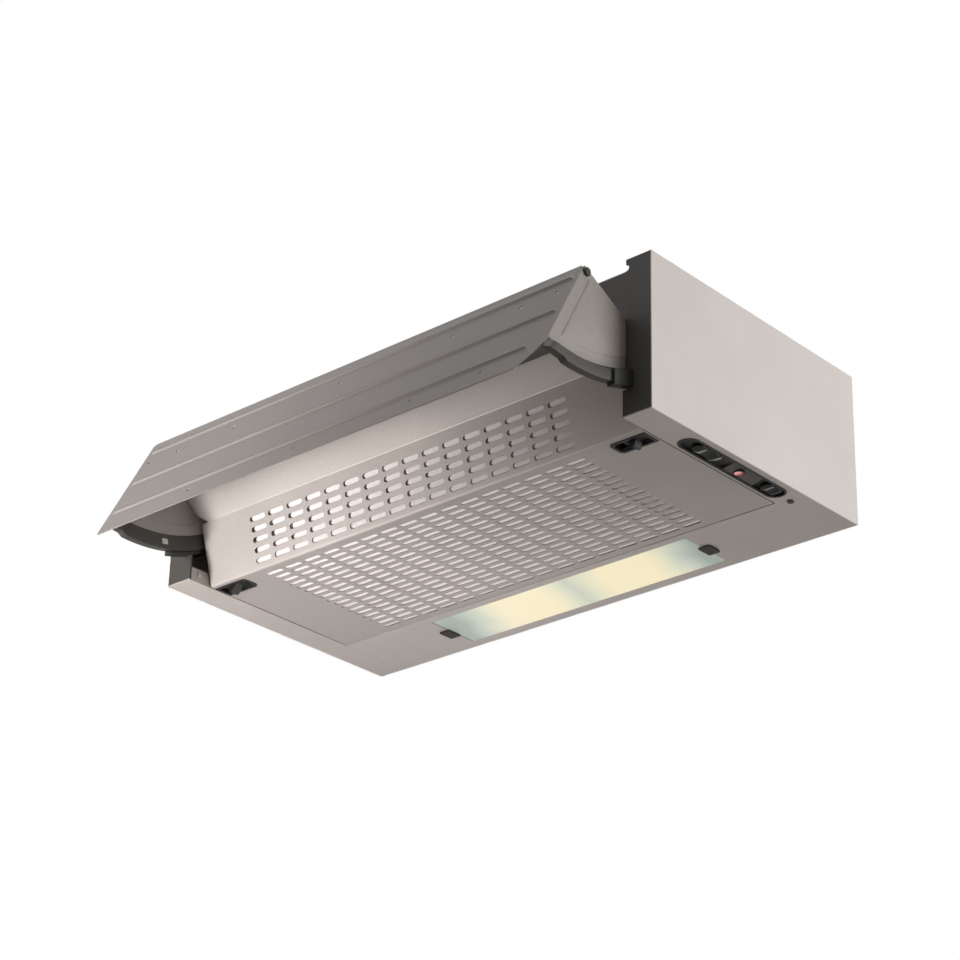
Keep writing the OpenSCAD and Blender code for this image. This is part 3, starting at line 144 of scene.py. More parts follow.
soft_lamp("front left lamp", (-0.46, -1.08, -0.74), (-0.22, -0.15, -0.08), 0.4, 1.5, radians(34))
soft_lamp("right lamp", (2.6, 1.2, -0.2), (0.3, 0, -0.1), 2.0, 45)
soft_lamp("low lamp behind", (1.2, 1.0, -1.6), (0, 0, -0.1), 2.0, 15)
soft_lamp("top lamp", (0, 0.5, 3), (0, 0, 0), 2.5, 38)

# Casing sides and cover: steel sheet, folded, spot-welded and coated with a white satin powder.
# The powder melts to a faint orange peel, with bumps about 1.5 mm apart, and rounds the sheet's edges.


def shades(tree, pattern, colour, levels, marks=(0, 1)):
    """A ramp over a pattern from one shade of a colour to another; a shade is its linear light times a level."""
    tint = add(tree, "ValToRGB", {"Fac": pattern})
    for stop, level, mark in zip(tint.color_ramp.elements, levels, marks):
        stop.color = tuple(min(1, c*level) for c in linear(colour)[:3]) + (1,)
        stop.position = mark
    return tint.outputs["Color"]


def spread_over(tree, pattern, low, high, marks=(0.3, 0.7)):
    """Maps a pattern between its two marks, where most of a noise lies, onto low to high."""
    mapped = add(tree, "MapRange", {"Value": pattern, "From Min": marks[0], "From Max": marks[1],
                                    "To Min": low, "To Max": high})
    return mapped.outputs[0]


def powder_coat(name, colour, roughness=0.42, peel=0.12, round_edge=0.45*mm):
    """Baked powder: base colour in slow clouds 90 mm wide, orange peel of 1.5 mm, soft edges."""
    material, tree = new_material(name)
    place = add(tree, "TexCoord").outputs["Object"]
    clouds = add(tree, "TexNoise", {"Vector": place, "Scale": 1/0.09, "Detail": 2.0})
    tint = shades(tree, clouds.outputs["Fac"], colour, (0.965, 1.03), (0.3, 0.7))
    grain = add(tree, "TexNoise", {"Vector": place, "Scale": 1/0.0015, "Detail": 1.0})
    worn = spread_over(tree, clouds.outputs["Fac"], roughness - 0.03, roughness + 0.03)
    edge = add(tree, "Bevel", {"Radius": round_edge}, samples=4)
    bump = add(tree, "Bump", {"Height": grain.outputs["Fac"], "Strength": peel, "Distance": 0.1*mm,
                              "Normal": edge.outputs[0]})
    coat = add(tree, "BsdfPrincipled", {"Base Color": tint, "Roughness": worn, "Normal": bump.outputs[0]})
    coat.inputs["IOR"].default_value = 1.5
    add(tree, "OutputMaterial", {"Surface": coat.outputs[0]})
    return material


def dress(material, *nodes):
    """Gives CAD nodes a material in place of their plain one."""
    for name in nodes:
        for place in cad[name].material_slots:
            place.material = material


white_powder = powder_coat("white satin powder coat", "#d3cbc6")
dress(white_powder, "left_side_panel", "right_side_panel")
cover_powder = powder_coat("cover powder coat", "#c4bdb8")
dress(cover_powder, "top_panel", "rear_panel")

# Underside: two folded sheets, for the lamp and the controls and for the left edge, and the channel that stiffens
# the visor. All have one paint, a silver-grey powder with a little metal flake in it.


def silver_powder(name, colour, roughness=0.46, flake=0.10):
    """Silver-grey powder: as the white one, with flakes 0.8 mm apart that tilt the shine."""
    material, tree = new_material(name)
    place = add(tree, "TexCoord").outputs["Object"]
    clouds = add(tree, "TexNoise", {"Vector": place, "Scale": 1/0.12, "Detail": 2.0})
    flakes = add(tree, "TexNoise", {"Vector": place, "Scale": 1/0.0008, "Detail": 0.0})
    glint = spread_over(tree, flakes.outputs["Fac"], 0.94, 1.06, (0.35, 0.65))
    tint = shades(tree, clouds.outputs["Fac"], colour, (0.95, 1.04), (0.3, 0.7))
    sparkle = add(tree, "VectorMath", {0: tint, 1: glint}, operation="MULTIPLY")
    edge = add(tree, "Bevel", {"Radius": 0.5*mm}, samples=4)
    bump = add(tree, "Bump", {"Height": flakes.outputs["Fac"], "Strength": 0.10, "Distance": 0.06*mm,
                              "Normal": edge.outputs[0]})
    worn = spread_over(tree, clouds.outputs["Fac"], roughness - 0.03, roughness + 0.03)
    coat = add(tree, "BsdfPrincipled", {"Base Color": sparkle.outputs[0], "Roughness": worn,
                                        "Normal": bump.outputs[0], "Metallic": flake})
    coat.inputs["Specular IOR Level"].default_value = 0.3
    add(tree, "OutputMaterial", {"Surface": coat.outputs[0]})
    return material


silver_paint = silver_powder("silver grey powder coat", "#a8a09b")
dress(silver_paint, "left_bottom_rail", "lamp_control_panel", "visor_stiffener")

# Front posts: thick steel with a matt dark paint, each slotted for a runner. Behind them sit the guides,
# moulded in black acetal, whose noses stand out in front of the posts and carry the runners.


def matt_plastic(name, colour, roughness=0.5, texture=0.5*mm, depth=0.2):
    """Moulded plastic from a spark-eroded tool: pits at the texture's spacing, softened edges."""
    material, tree = new_material(name)
    place = add(tree, "TexCoord").outputs["Object"]
    pits = add(tree, "TexNoise", {"Vector": place, "Scale": 1/texture, "Detail": 1.0})
    flow = add(tree, "TexNoise", {"Vector": place, "Scale": 1/0.03, "Detail": 2.0})
    tint = shades(tree, flow.outputs["Fac"], colour, (0.88, 1.12))
    worn = spread_over(tree, flow.outputs["Fac"], roughness - 0.05, roughness + 0.05)
    edge = add(tree, "Bevel", {"Radius": 0.4*mm}, samples=4)
    bump = add(tree, "Bump", {"Height": pits.outputs["Fac"], "Strength": depth, "Distance": 0.05*mm,
                              "Normal": edge.outputs[0]})
    plastic = add(tree, "BsdfPrincipled", {"Base Color": tint, "Roughness": worn, "Normal": bump.outputs[0]})
    plastic.inputs["IOR"].default_value = 1.47
    add(tree, "OutputMaterial", {"Surface": plastic.outputs[0]})
    return material


dark_powder = powder_coat("matt dark powder coat", "#34302c", roughness=0.5)
# The front cross panel takes this dark paint as painted shade, for the shadow it stands in under the top panel.
dress(dark_powder, "left_front_post", "right_front_post", "front_cross_panel")
black_acetal = matt_plastic("black acetal", "#1c1b19", 0.42)
dress(black_acetal, "runner_guides")

# Bright small parts: zinc-plated steel rivets, pins, screws, wires, clips, brackets and the fan's shaft.
# The plating is a soft bluish silver with a faint crystal bloom.


def zinc_plate(name, colour="#b9bab8", roughness=0.33):
    """Zinc on steel: metal with a bloom in patches of 6 mm."""
    material, tree = new_material(name)
    place = add(tree, "TexCoord").outputs["Object"]
    bloom = add(tree, "TexVoronoi", {"Vector": place, "Scale": 1/0.006})
    tint = shades(tree, bloom.outputs["Color"], colour, (0.82, 1.08))
    worn = spread_over(tree, bloom.outputs["Distance"], roughness - 0.05, roughness + 0.1, (0, 1))
    edge = add(tree, "Bevel", {"Radius": 0.2*mm}, samples=4)
    metal = add(tree, "BsdfPrincipled", {"Base Color": tint, "Metallic": 1.0, "Roughness": worn,
                                         "Normal": edge.outputs[0]})
    add(tree, "OutputMaterial", {"Surface": metal.outputs[0]})
    return material


zinc = zinc_plate("zinc plated steel")
dress(zinc, "rail_rivets", "runner_clips", "hinge_pins", "filter_wires", "collar_screws", "damper_rod",
      "motor_shaft", "motor_bracket", "cheek_brackets", "motor_body")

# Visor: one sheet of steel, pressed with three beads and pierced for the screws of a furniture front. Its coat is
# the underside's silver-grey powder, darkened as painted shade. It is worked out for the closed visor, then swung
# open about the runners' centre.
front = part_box("left_side_panel")[0].y
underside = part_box("left_side_panel")[0].z
axis_y, axis_z = front - 70*mm, underside + 210*mm
swing = radians(27.5)
visor_face, visor_top, visor_h = front - 16.5*mm, -12*mm, 132*mm
visor_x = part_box("visor_panel")[1].x
sheet = 1*mm


def swung(points):
    """Turns points about the swing axis from the closed visor's place to the open one's."""
    y, z = points[..., 1] - axis_y, points[..., 2] - axis_z
    return np.stack([points[..., 0], axis_y + y*cos(swing) + z*sin(swing), axis_z - y*sin(swing) + z*cos(swing)], -1)


def grid_piece(name, points, round_rows=False, round_columns=False):
    """Quads between the rows and columns of points[i, j]; a round direction joins its end to its start."""
    rows, columns = points.shape[:2]
    number = np.arange(rows*columns).reshape(rows, columns)
    if round_rows:
        number = np.vstack([number, number[:1]])
    if round_columns:
        number = np.hstack([number, number[:, :1]])
    quads = np.stack([number[:-1, :-1], number[1:, :-1], number[1:, 1:], number[:-1, 1:]], -1).reshape(-1, 4)
    return mesh_piece(name, points, quads)


def apply(piece, kind, **settings):
    """Adds a modifier with its settings and puts its result into the mesh."""
    modifier = piece.modifiers.new(kind, kind)
    for name, value in settings.items():
        setattr(modifier, name, value)
    plain = piece.data
    piece.data = bpy.data.meshes.new_from_object(piece.evaluated_get(bpy.context.evaluated_depsgraph_get()))
    piece.modifiers.clear()
    bpy.data.meshes.remove(plain)
    return piece


def clean(piece):
    """Joins points at seams and poles and drops the flat faces left there."""
    shell = bmesh.new()
    shell.from_mesh(piece.data)
    bmesh.ops.remove_doubles(shell, verts=shell.verts, dist=0.002*mm)
    bmesh.ops.dissolve_degenerate(shell, edges=shell.edges, dist=0.001*mm)
    shell.to_mesh(piece.data)
    shell.free()


def thicken(piece, thickness, back):
    """Gives a sheet its thickness on the side that the vector back points to."""
    clean(piece)
    normals = np.zeros(3*len(piece.data.polygons))
    piece.data.polygons.foreach_get("normal", normals)
    if normals.reshape(-1, 3).sum(0) @ np.array(back) > 0:
        piece.data.flip_normals()
    apply(piece, "SOLIDIFY", thickness=thickness, offset=-1)


def settle(piece, material, body, slot, *nodes, crease=32):
    """Turns faces outwards, smooths all but creases, gives the material, fixes the piece to its body and hides the
    nodes it stands for.
    """
    clean(piece)
    shell = bmesh.new()
    shell.from_mesh(piece.data)
    bmesh.ops.recalc_face_normals(shell, faces=shell.faces)
    shell.to_mesh(piece.data)
    shell.free()
    piece.data.shade_smooth()
    piece.data.set_sharp_from_angle(angle=radians(crease))
    piece.data.materials.clear()
    piece.data.materials.append(material)
    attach(piece, body)
    if nodes:
        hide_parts(*nodes)
    return piece


def lines(*stretches):
    """Grid lines from stretches (start, end, number of steps), each met once, in rising order."""
    found = np.sort(np.concatenate([np.linspace(a, b, n + 1) for a, b, n in stretches]))
    return found[np.concatenate([[True], np.diff(found) > 0.02*mm])]


def pierced(name, across, along, holes, place, windows=()):
    """A sheet on the grid lines across x along, where each hole (x, s, half length, radius) takes its own cell.

    A cell's four corners are joined to the hole's outline, a stadium, by four flat faces. Each window (x, s, half
    width, half height) leaves out the cells in it. place turns arrays of x and s into points.
    """
    columns, rows = len(across), len(along)
    x, s = np.meshgrid(across, along)
    number = np.arange(rows*columns).reshape(rows, columns)
    keep = np.ones((rows - 1, columns - 1), bool)
    spots, faces = [np.stack([x.ravel(), s.ravel()], -1)], []
    turn = np.linspace(-pi/2, pi/2, 9)
    count = rows*columns
    for hole_x, hole_s, half, radius in holes:
        i, j = np.searchsorted(along, hole_s) - 1, np.searchsorted(across, hole_x) - 1
        keep[i, j] = False
        edge = np.stack([half + radius*np.cos(turn), radius*np.sin(turn)], -1)
        spots.append(np.concatenate([edge, -edge]) + (hole_x, hole_s))
        ring = count + np.arange(18)
        count += 18
        low_left, low_right, high_right, high_left = number[i, j], number[i, j+1], number[i+1, j+1], number[i+1, j]
        faces.append([low_right, high_right, *ring[6:1:-1]])
        faces.append([high_right, high_left, *ring[11:5:-1]])
        faces.append([high_left, low_left, *ring[15:10:-1]])
        faces.append([low_left, low_right, *ring[2::-1], *ring[:14:-1]])
    middle_x, middle_s = (across[1:] + across[:-1])/2, (along[1:] + along[:-1])/2
    for window_x, window_s, half_x, half_s in windows:
        keep &= ~((np.abs(middle_x - window_x) < half_x) & (np.abs(middle_s - window_s) < half_s)[:, None])
    quads = np.stack([number[:-1, :-1], number[:-1, 1:], number[1:, 1:], number[1:, :-1]], -1)[keep]
    spots = np.concatenate(spots)
    return mesh_piece(name, place(spots[:, 0], spots[:, 1]), quads.tolist() + faces)


bead_s = np.array([15.84, 62.04, 104.28])*mm
bead_right = np.array([264.6, 264.6, 249.75])*mm
bead_left, bead_half, bead_out = 264.6*mm, 2.6*mm, 1.7*mm
upper_s, lower_s = 31.02*mm, 116.16*mm
upper_x = np.array([-0.95, -0.80, -0.51, 0, 0.51, 0.80, 0.95])*visor_x - 3.5*mm
lower_x = np.array([-0.567, -0.063, 0.456, 0.752])*visor_x
corner_cut, corner_nick, edge_room = 24*mm, 3*mm, 30*mm


def bead_height(x, s):
    """Sum of three ridges, each a cosine arch across its width that sinks to nothing at round ends."""
    height = 0
    for at, end in zip(bead_s, bead_right):
        past = np.maximum(0, np.maximum(x - end + bead_half, -x - bead_left + bead_half))
        far = np.hypot(past, s - at)/bead_half
        height = height + bead_out*np.where(far < 1, 0.5 + 0.5*np.cos(pi*far), 0)
    return height


def visor_point(x, s):
    """Point of the visor's face: x across, s down from the top edge; x is drawn in towards the cut corners."""
    low = np.clip(1 - (visor_h - s)/corner_cut, 0, 1)
    nick = np.maximum(corner_nick - s, np.maximum(0, 0.6*mm - (visor_h - s)))
    edge = visor_x - np.where(x < 0, nick, np.where(s < visor_h/2, nick, corner_cut*low))
    inner = visor_x - edge_room
    far = np.abs(x)
    x = np.sign(x)*np.where(far > inner, inner + (far - inner)*(edge - inner)/edge_room, far)
    return swung(np.stack([x, visor_face - bead_height(x, s), visor_top - s], -1))


hole_room, hole_r = 2.3*mm, 1.75*mm
across = lines((-visor_x, -visor_x + 9*mm, 12), (247*mm, 251*mm, 6), (visor_x - 9*mm, visor_x, 12),
               (-240*mm, 240*mm, 24))
along = lines((0, corner_nick, 2), (visor_h - corner_cut, visor_h, 8), (22*mm, 58*mm, 4), (66*mm, 98*mm, 4),
              *[(s - bead_half, s + bead_half, 12) for s in bead_s])
for x in (*upper_x, *lower_x):
    across = np.sort(np.append(across[np.abs(across - x) > hole_room + 0.3*mm], [x - hole_room, x + hole_room]))
for s in (upper_s, lower_s):
    along = np.sort(np.append(along[np.abs(along - s) > hole_room + 0.3*mm], [s - hole_room, s + hole_room]))
door_holes = [(x, s, 0, hole_r) for row, s in ((upper_x, upper_s), (lower_x, lower_s)) for x in row]
visor_sheet = pierced("visor_sheet", across, along, door_holes, visor_point)
thicken(visor_sheet, sheet, (0, 1, 0))
# The underside's silver-grey powder, given a darker grey here as painted shade.
visor_paint_painted_darker = silver_powder("visor powder coat", "#87807c")
settle(visor_sheet, visor_paint_painted_darker, "visor", "grey_paint", "visor_panel")

# Cheeks: a sector of the same sheet on each side of the visor, with a flat panel pressed 0.8 mm outwards.
# They are spot-welded to the visor through small angle brackets. Their paint is the same silver-grey with painted
# light in it: a shade paler than the visor's.
# Painted light: the cheeks' coat is a paler shade of the visor's paint.
cheek_paint_painted_paler = silver_powder("cheek powder coat", "#98918c")
cheek_r, cheek_out = 189*mm, 0.8*mm
cheek_y, cheek_z = visor_face + sheet - axis_y, axis_z - visor_top
panel_y, panel_z, panel_r = cheek_y + 11*mm, cheek_z + 7.5*mm, cheek_r - 21*mm
cheek_from, cheek_to = asin(cheek_y/cheek_r), np.arccos(cheek_z/cheek_r)
cheek_angles = lines((cheek_from, cheek_to, 90), (atan2(cheek_y, cheek_z), atan2(panel_y, panel_z), 4),
                     (asin(panel_y/panel_r) - 0.01, asin(panel_y/panel_r) + 0.01, 2),
                     (np.arccos(panel_z/panel_r) - 0.01, np.arccos(panel_z/panel_r) + 0.01, 2))
press = np.linspace(-0.7, 0.7, 7)*mm


def cheek_face(side):
    """A cheek's outer face: radii about the swing axis, over the angles from straight down.

    At each angle the radii run from the cheek's straight edges through both steps of the pressed panel to the arc,
    and a point lies out by a smooth step of its distance inside the panel.
    """
    angle = cheek_angles[:, None]
    to_edge = lambda y, z: np.maximum(y/np.sin(angle), z/np.cos(angle))
    near = to_edge(cheek_y, cheek_z)
    inner = np.minimum(to_edge(panel_y + press, panel_z + press), panel_r - press[-1])
    outer = np.broadcast_to(panel_r - press[::-1], (len(angle), len(press)))
    rim = np.full_like(angle, cheek_r)
    radius = np.hstack([near, np.maximum(near, inner), np.maximum(near, outer), np.maximum(near, rim)])
    y, z = radius*np.sin(angle), -radius*np.cos(angle)
    inside = np.minimum(np.minimum(y - panel_y, -z - panel_z), panel_r - radius)
    step = np.clip(inside/(1.4*mm) + 0.5, 0, 1)
    out = visor_x + cheek_out*step**2*(3 - 2*step)
    return swung(np.stack([side*out, axis_y + y, axis_z + z], -1))


for side, name in ((-1, "left"), (1, "right")):
    cheek = grid_piece(name + "_cheek_sheet", cheek_face(side))
    thicken(cheek, sheet, (-side, 0, 0))
    settle(cheek, cheek_paint_painted_paler, "visor", "grey_paint", name + "_cheek", crease=50)

# Runners: a channel of dark grey nylon pushed over each cheek's curved rim and held by bright clips inside.
# Its thick outer leg slides in the guide, and a stop near its rear end meets the guide when the visor is right out.
runner_nylon = matt_plastic("dark grey nylon", "#35322e", 0.45)
rim_profile = np.array([(0.04, 189.05), (0.04, 178.2), (0.1, 178.05), (0.2, 178.05), (0.25, 178.2), (0.25, 181.9),
                        (0.5, 182.05), (5.5, 182.05), (5.9, 182.4), (6, 182.9), (6, 192.2), (5.9, 192.7), (5.5, 193),
                        (-1.3, 193), (-1.5, 192.8), (-1.6, 192.4), (-1.6, 178.4), (-1.5, 178.1), (-1.2, 178.05),
                        (-1.05, 178.2), (-1.05, 189.05)])*mm
step_from, step_length, slimmer, stop_from = radians(22.6), radians(1.4), 2.5*mm, radians(59.65)
stop_profile = np.array([(0.4, 192.6), (0.4, 196), (0.8, 196.4), (5.5, 196.4), (5.9, 196), (5.9, 192.6)])*mm


def loft(name, rings):
    """A closed shape through rings of points, closed flat at its first and last ring."""
    number = np.arange(rings.shape[0]*rings.shape[1]).reshape(rings.shape[:2])
    wide = np.hstack([number, number[:, :1]])
    quads = np.stack([wide[:-1, :-1], wide[1:, :-1], wide[1:, 1:], wide[:-1, 1:]], -1).reshape(-1, 4)
    return mesh_piece(name, rings, quads.tolist() + [number[0].tolist(), number[-1].tolist()])


def about_axis(side, out, radius, angle):
    """Point of the open visor at a distance out from its side, a radius and an angle behind straight down."""
    return swung(np.stack([side*(visor_x + out), axis_y + radius*np.sin(angle), axis_z - radius*np.cos(angle)], -1))


def together(name, pieces):
    """Puts the meshes of several pieces into one."""
    shell = bmesh.new()
    for piece in pieces:
        shell.from_mesh(piece.data)
        bpy.data.objects.remove(piece)
    joined = mesh_piece(name, [(0, 0, 0)], [])
    shell.to_mesh(joined.data)
    shell.free()
    return joined


for side, name in ((-1, "left"), (1, "right")):
    out, radius = rim_profile[:, 0][None], rim_profile[:, 1][None]
    first, last = np.arcsin((cheek_y + 0.3*mm)/radius), np.arccos((cheek_z + 0.3*mm)/radius)
    share = np.sort(np.concatenate([np.linspace(0, 1, 49), np.linspace(0.09, 0.17, 12)]))[:, None]
    angle = first + (last - first)*share
    thin = 1 - np.clip((angle - step_from)/step_length, 0, 1)
    ended = np.minimum(out, 0.2*mm + 1.3*(radius*np.sin(angle) - cheek_y))
    strip = loft("strip", about_axis(side, ended, radius - slimmer*thin*(radius > cheek_r + 0.1*mm), angle))
    turn = stop_from + np.radians([0, 0.15, 1.85, 2])[:, None]
    drop = np.array([0.4, 0, 0, 0.4])[:, None]*mm*(stop_profile[:, 1] > 195*mm)
    stop = loft("stop", about_axis(side, stop_profile[:, 0] + 0*turn, stop_profile[:, 1] - drop, turn))
    settle(together(name + "_runner_channel", [strip, stop]), runner_nylon, "visor", "black_plastic", name + "_runner")

# Buffers: a turned rubber button pushed through each cheek's top front corner, with a domed head.
# They stop the cheeks from knocking on the casing.
rubber = matt_plastic("black rubber", "#171614", 0.6, 0.4*mm, 0.1)


def turned(name, along, radii, place, sides=48):
    """A lathe shape: radii at distances along its axis, closed at both ends; place turns (a, b, c) to a point."""
    angle = np.linspace(0, 2*pi, sides, endpoint=False)
    radius, angle = np.meshgrid(radii, angle, indexing="ij")
    far = np.broadcast_to(np.asarray(along)[:, None], radius.shape)
    return grid_piece(name, place(far, radius*np.cos(angle), radius*np.sin(angle)), round_columns=True)


buffer_y, buffer_z = visor_face + 5.5*mm, visor_top - 3.9*mm
buttons = []
for side in (-1, 1):
    place = lambda a, b, c: swung(np.stack([side*(visor_x + a), buffer_y + b, buffer_z + c], -1))
    lift = np.array([-1.9, -2, -1, -1, 0, 0.05, 0.3, 1.2, 2.0, 2.6, 2.9, 3.0])*mm
    radii = np.array([0, 2.9, 3.1, 2.1, 2.1, 4.0, 4.2, 4.2, 3.9, 3.2, 2.2, 0])*mm
    buttons.append(turned("buffer", lift, radii, place))

settle(together("corner_buffer_pair", buttons), rubber, "visor", "black_plastic", "corner_buffers")

# Grille: one sheet of steel punched with slots, folded to a flat bottom, a leaning front face and a lip.
# Its sides are turned up, and its rear corners are rolled to knuckles for the hinge pins. The windows in the sides
# for the latches' tongues aren't cut here.
grille_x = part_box("grille_panel")[1].x
lip_end, face_end, bottom_end, fold_r = 29.4*mm, 93.1*mm, 280.2*mm, 2.5*mm
relief_x, relief_from, relief_to, relief_end = 257.3*mm, 20.35*mm, 28.9*mm, 29.9*mm
relief_slope, still_x = 1.053, 250*mm
grille_corners = np.array([(-12.73, 80.77), (8.98, 60.95), (27.5, 0), (214.6, 0)])*mm + (front, underside)


def folded(s, corners, bend):
    """Point at distance s along a folded line: straight between its corners, with an arc of radius bend at each.

    The arc takes the place of the line for bend*tan(half the turn) on both sides of its corner.
    """
    legs = np.diff(corners, axis=0)
    length = np.hypot(legs[:, 0], legs[:, 1])
    ways = legs/length[:, None]
    at = np.concatenate([[0], np.cumsum(length)])
    y, z = np.interp(s, at, corners[:, 0]), np.interp(s, at, corners[:, 1])
    for k in range(1, len(corners) - 1):
        a, b = ways[k-1], ways[k]
        turned_by = atan2(a[0]*b[1] - a[1]*b[0], a @ b)
        reach = bend*tan(abs(turned_by)/2)
        part = np.clip((s - at[k] + reach)/(2*reach), 0, 1)*abs(turned_by)
        inward = np.array([-a[1], a[0]])*np.sign(turned_by)
        start = corners[k] - reach*a
        near = np.abs(s - at[k]) < reach
        y = np.where(near, start[0] + bend*(np.sin(part)*a[0] + (1 - np.cos(part))*inward[0]), y)
        z = np.where(near, start[1] + bend*(np.sin(part)*a[1] + (1 - np.cos(part))*inward[1]), z)
    return y, z


def grille_point(x, s):
    """Point of the grille's outer face: x across, s from the lip's tip.

    The lip's corners are drawn in, and beside each latch one row is moved back to the rear edge of its window.
    """
    lip = np.clip(relief_x + (relief_to - s)*relief_slope, relief_x, grille_x)
    edge = np.where(s < relief_end, lip, grille_x)
    far = np.abs(x)
    s = np.where((np.abs(far - latch_x) < latch_half + 0.1*mm) & (np.abs(s - latch_row) < 0.1*mm), latch_rear, s)
    x = np.sign(x)*np.where(far > still_x, still_x + (far - still_x)*(edge - still_x)/(grille_x - still_x), far)
    return np.stack([x, *folded(s, grille_corners, fold_r)], -1)


slot_l, slot_r, slot_pitch, row_pitch = 20.5*mm, 2.5*mm, 25*mm, 10.2*mm
columns, face_rows, bottom_rows, slot_shift = 16, 5, 17, 4*mm
face_first, bottom_first = face_end - 9*mm, face_end + 12.9*mm
slot_x = (np.arange(columns) - (columns - 1)/2)*slot_pitch - slot_shift
slot_s = np.concatenate([face_first - row_pitch*np.arange(face_rows), bottom_first + row_pitch*np.arange(bottom_rows)])
latch_x, latch_s, latch_half, latch_reach = 245.8*mm, face_end + 11.85*mm, 18.5*mm, 6.15*mm
latch_row, latch_rear = latch_s + latch_reach, face_end + 23.3*mm
latches = [(side*latch_x, latch_s, latch_half, latch_reach) for side in (-1, 1)]
beside = np.array([latch_x - latch_half, latch_x + latch_half, 210*mm, still_x, 265.2*mm, 265.8*mm, grille_x])
across = np.sort(np.concatenate([slot_x[0] + (np.arange(columns + 1) - 0.5)*slot_pitch, -beside, beside]))
cell_s = np.concatenate([face_first + (0.5 - np.arange(face_rows + 1))*row_pitch,
                         bottom_first + (np.arange(bottom_rows + 1) - 0.5)*row_pitch])
along = lines((0, relief_from, 2), (relief_from, relief_to, 2), (relief_end - 0.05*mm, relief_end + 0.05*mm, 1),
              (lip_end - 1*mm, lip_end + 1*mm, 6), (face_end - 1.9*mm, face_end + 1.9*mm, 10),
              (bottom_end, bottom_end, 1), *[(s, s, 1) for s in cell_s])
along = np.sort(np.append(along, latch_s - latch_reach))
slots = [(x, s, slot_l/2 - slot_r, slot_r) for x in slot_x for s in slot_s]
grille_parts = [pierced("grille", across, along, slots, grille_point, latches)]
thicken(grille_parts[0], 0.5*mm, (0, 0, 1))
wall_foot = np.array([(8.98, 60.95), (27.5, 0), (209.4, 0)])*mm + (front, underside)
wall_rim = np.array([(21.04, 64.61), (36.42, 14), (209.4, 14)])*mm + (front, underside)
wall_points = np.stack([wall_foot + 0.04*(wall_rim - wall_foot), wall_rim], 1)
hinge_y, knuckle_r, bore_r, knuckle_l = front + 212*mm, 2.6*mm, 1.56*mm, 9.6*mm
for side in (-1, 1):
    wall = grid_piece("wall", np.insert(wall_points, 0, side*grille_x, axis=2))
    thicken(wall, sheet, (-side, 0, 0))
    place = lambda a, b, c: np.stack([side*(grille_x - a), hinge_y + b, underside + knuckle_r + c], -1)
    hub = [(0, bore_r), (0, knuckle_r - 0.1*mm), (0.1*mm, knuckle_r), (knuckle_l - 0.1*mm, knuckle_r),
           (knuckle_l, knuckle_r - 0.1*mm), (knuckle_l, bore_r)]
    knuckle = turned("knuckle", *zip(*hub), place)
    bore = turned("bore", (0, knuckle_l), (bore_r, bore_r), place)
    grille_parts += [wall, knuckle, bore]
grille_paint = silver_powder("grille powder coat", "#a8a09b", 0.42, 0.35)
settle(together("grille_sheet", grille_parts), grille_paint, "grille", "grey_paint", "grille_panel")

# Fleece: white polyester felt, needled into mats 7 and 6 mm thick, laid behind all the slots.
# Wires hold each mat down at its ends, and between them it bows away from the sheet. The front one is the same
# felt, given a greyer colour as painted shade.


def felt(name, colour):
    """Needled felt: soft fibre clumps of 3 mm with finer fuzz of 0.6 mm over them, and a faint sheen."""
    material, tree = new_material(name)
    place = add(tree, "TexCoord").outputs["Object"]
    clumps = add(tree, "TexNoise", {"Vector": place, "Scale": 1/0.003, "Detail": 3.0, "Distortion": 0.6})
    fuzz = add(tree, "TexNoise", {"Vector": place, "Scale": 1/0.0006, "Detail": 1.0})
    tint = shades(tree, clumps.outputs["Fac"], colour, (0.80, 1.06))
    low = add(tree, "Bump", {"Height": clumps.outputs["Fac"], "Strength": 0.6, "Distance": 0.6*mm})
    high = add(tree, "Bump", {"Height": fuzz.outputs["Fac"], "Strength": 0.4, "Distance": 0.15*mm,
                              "Normal": low.outputs[0]})
    cloth = add(tree, "BsdfPrincipled", {"Base Color": tint, "Roughness": 0.95, "Normal": high.outputs[0]})
    cloth.inputs["Sheen Weight"].default_value = 0.15
    cloth.inputs["Sheen Roughness"].default_value = 0.5
    add(tree, "OutputMaterial", {"Surface": cloth.outputs[0]})
    return material


fleece_x = grille_x - 44.3*mm
white_felt = felt("white polyester felt", "#efe8e7")


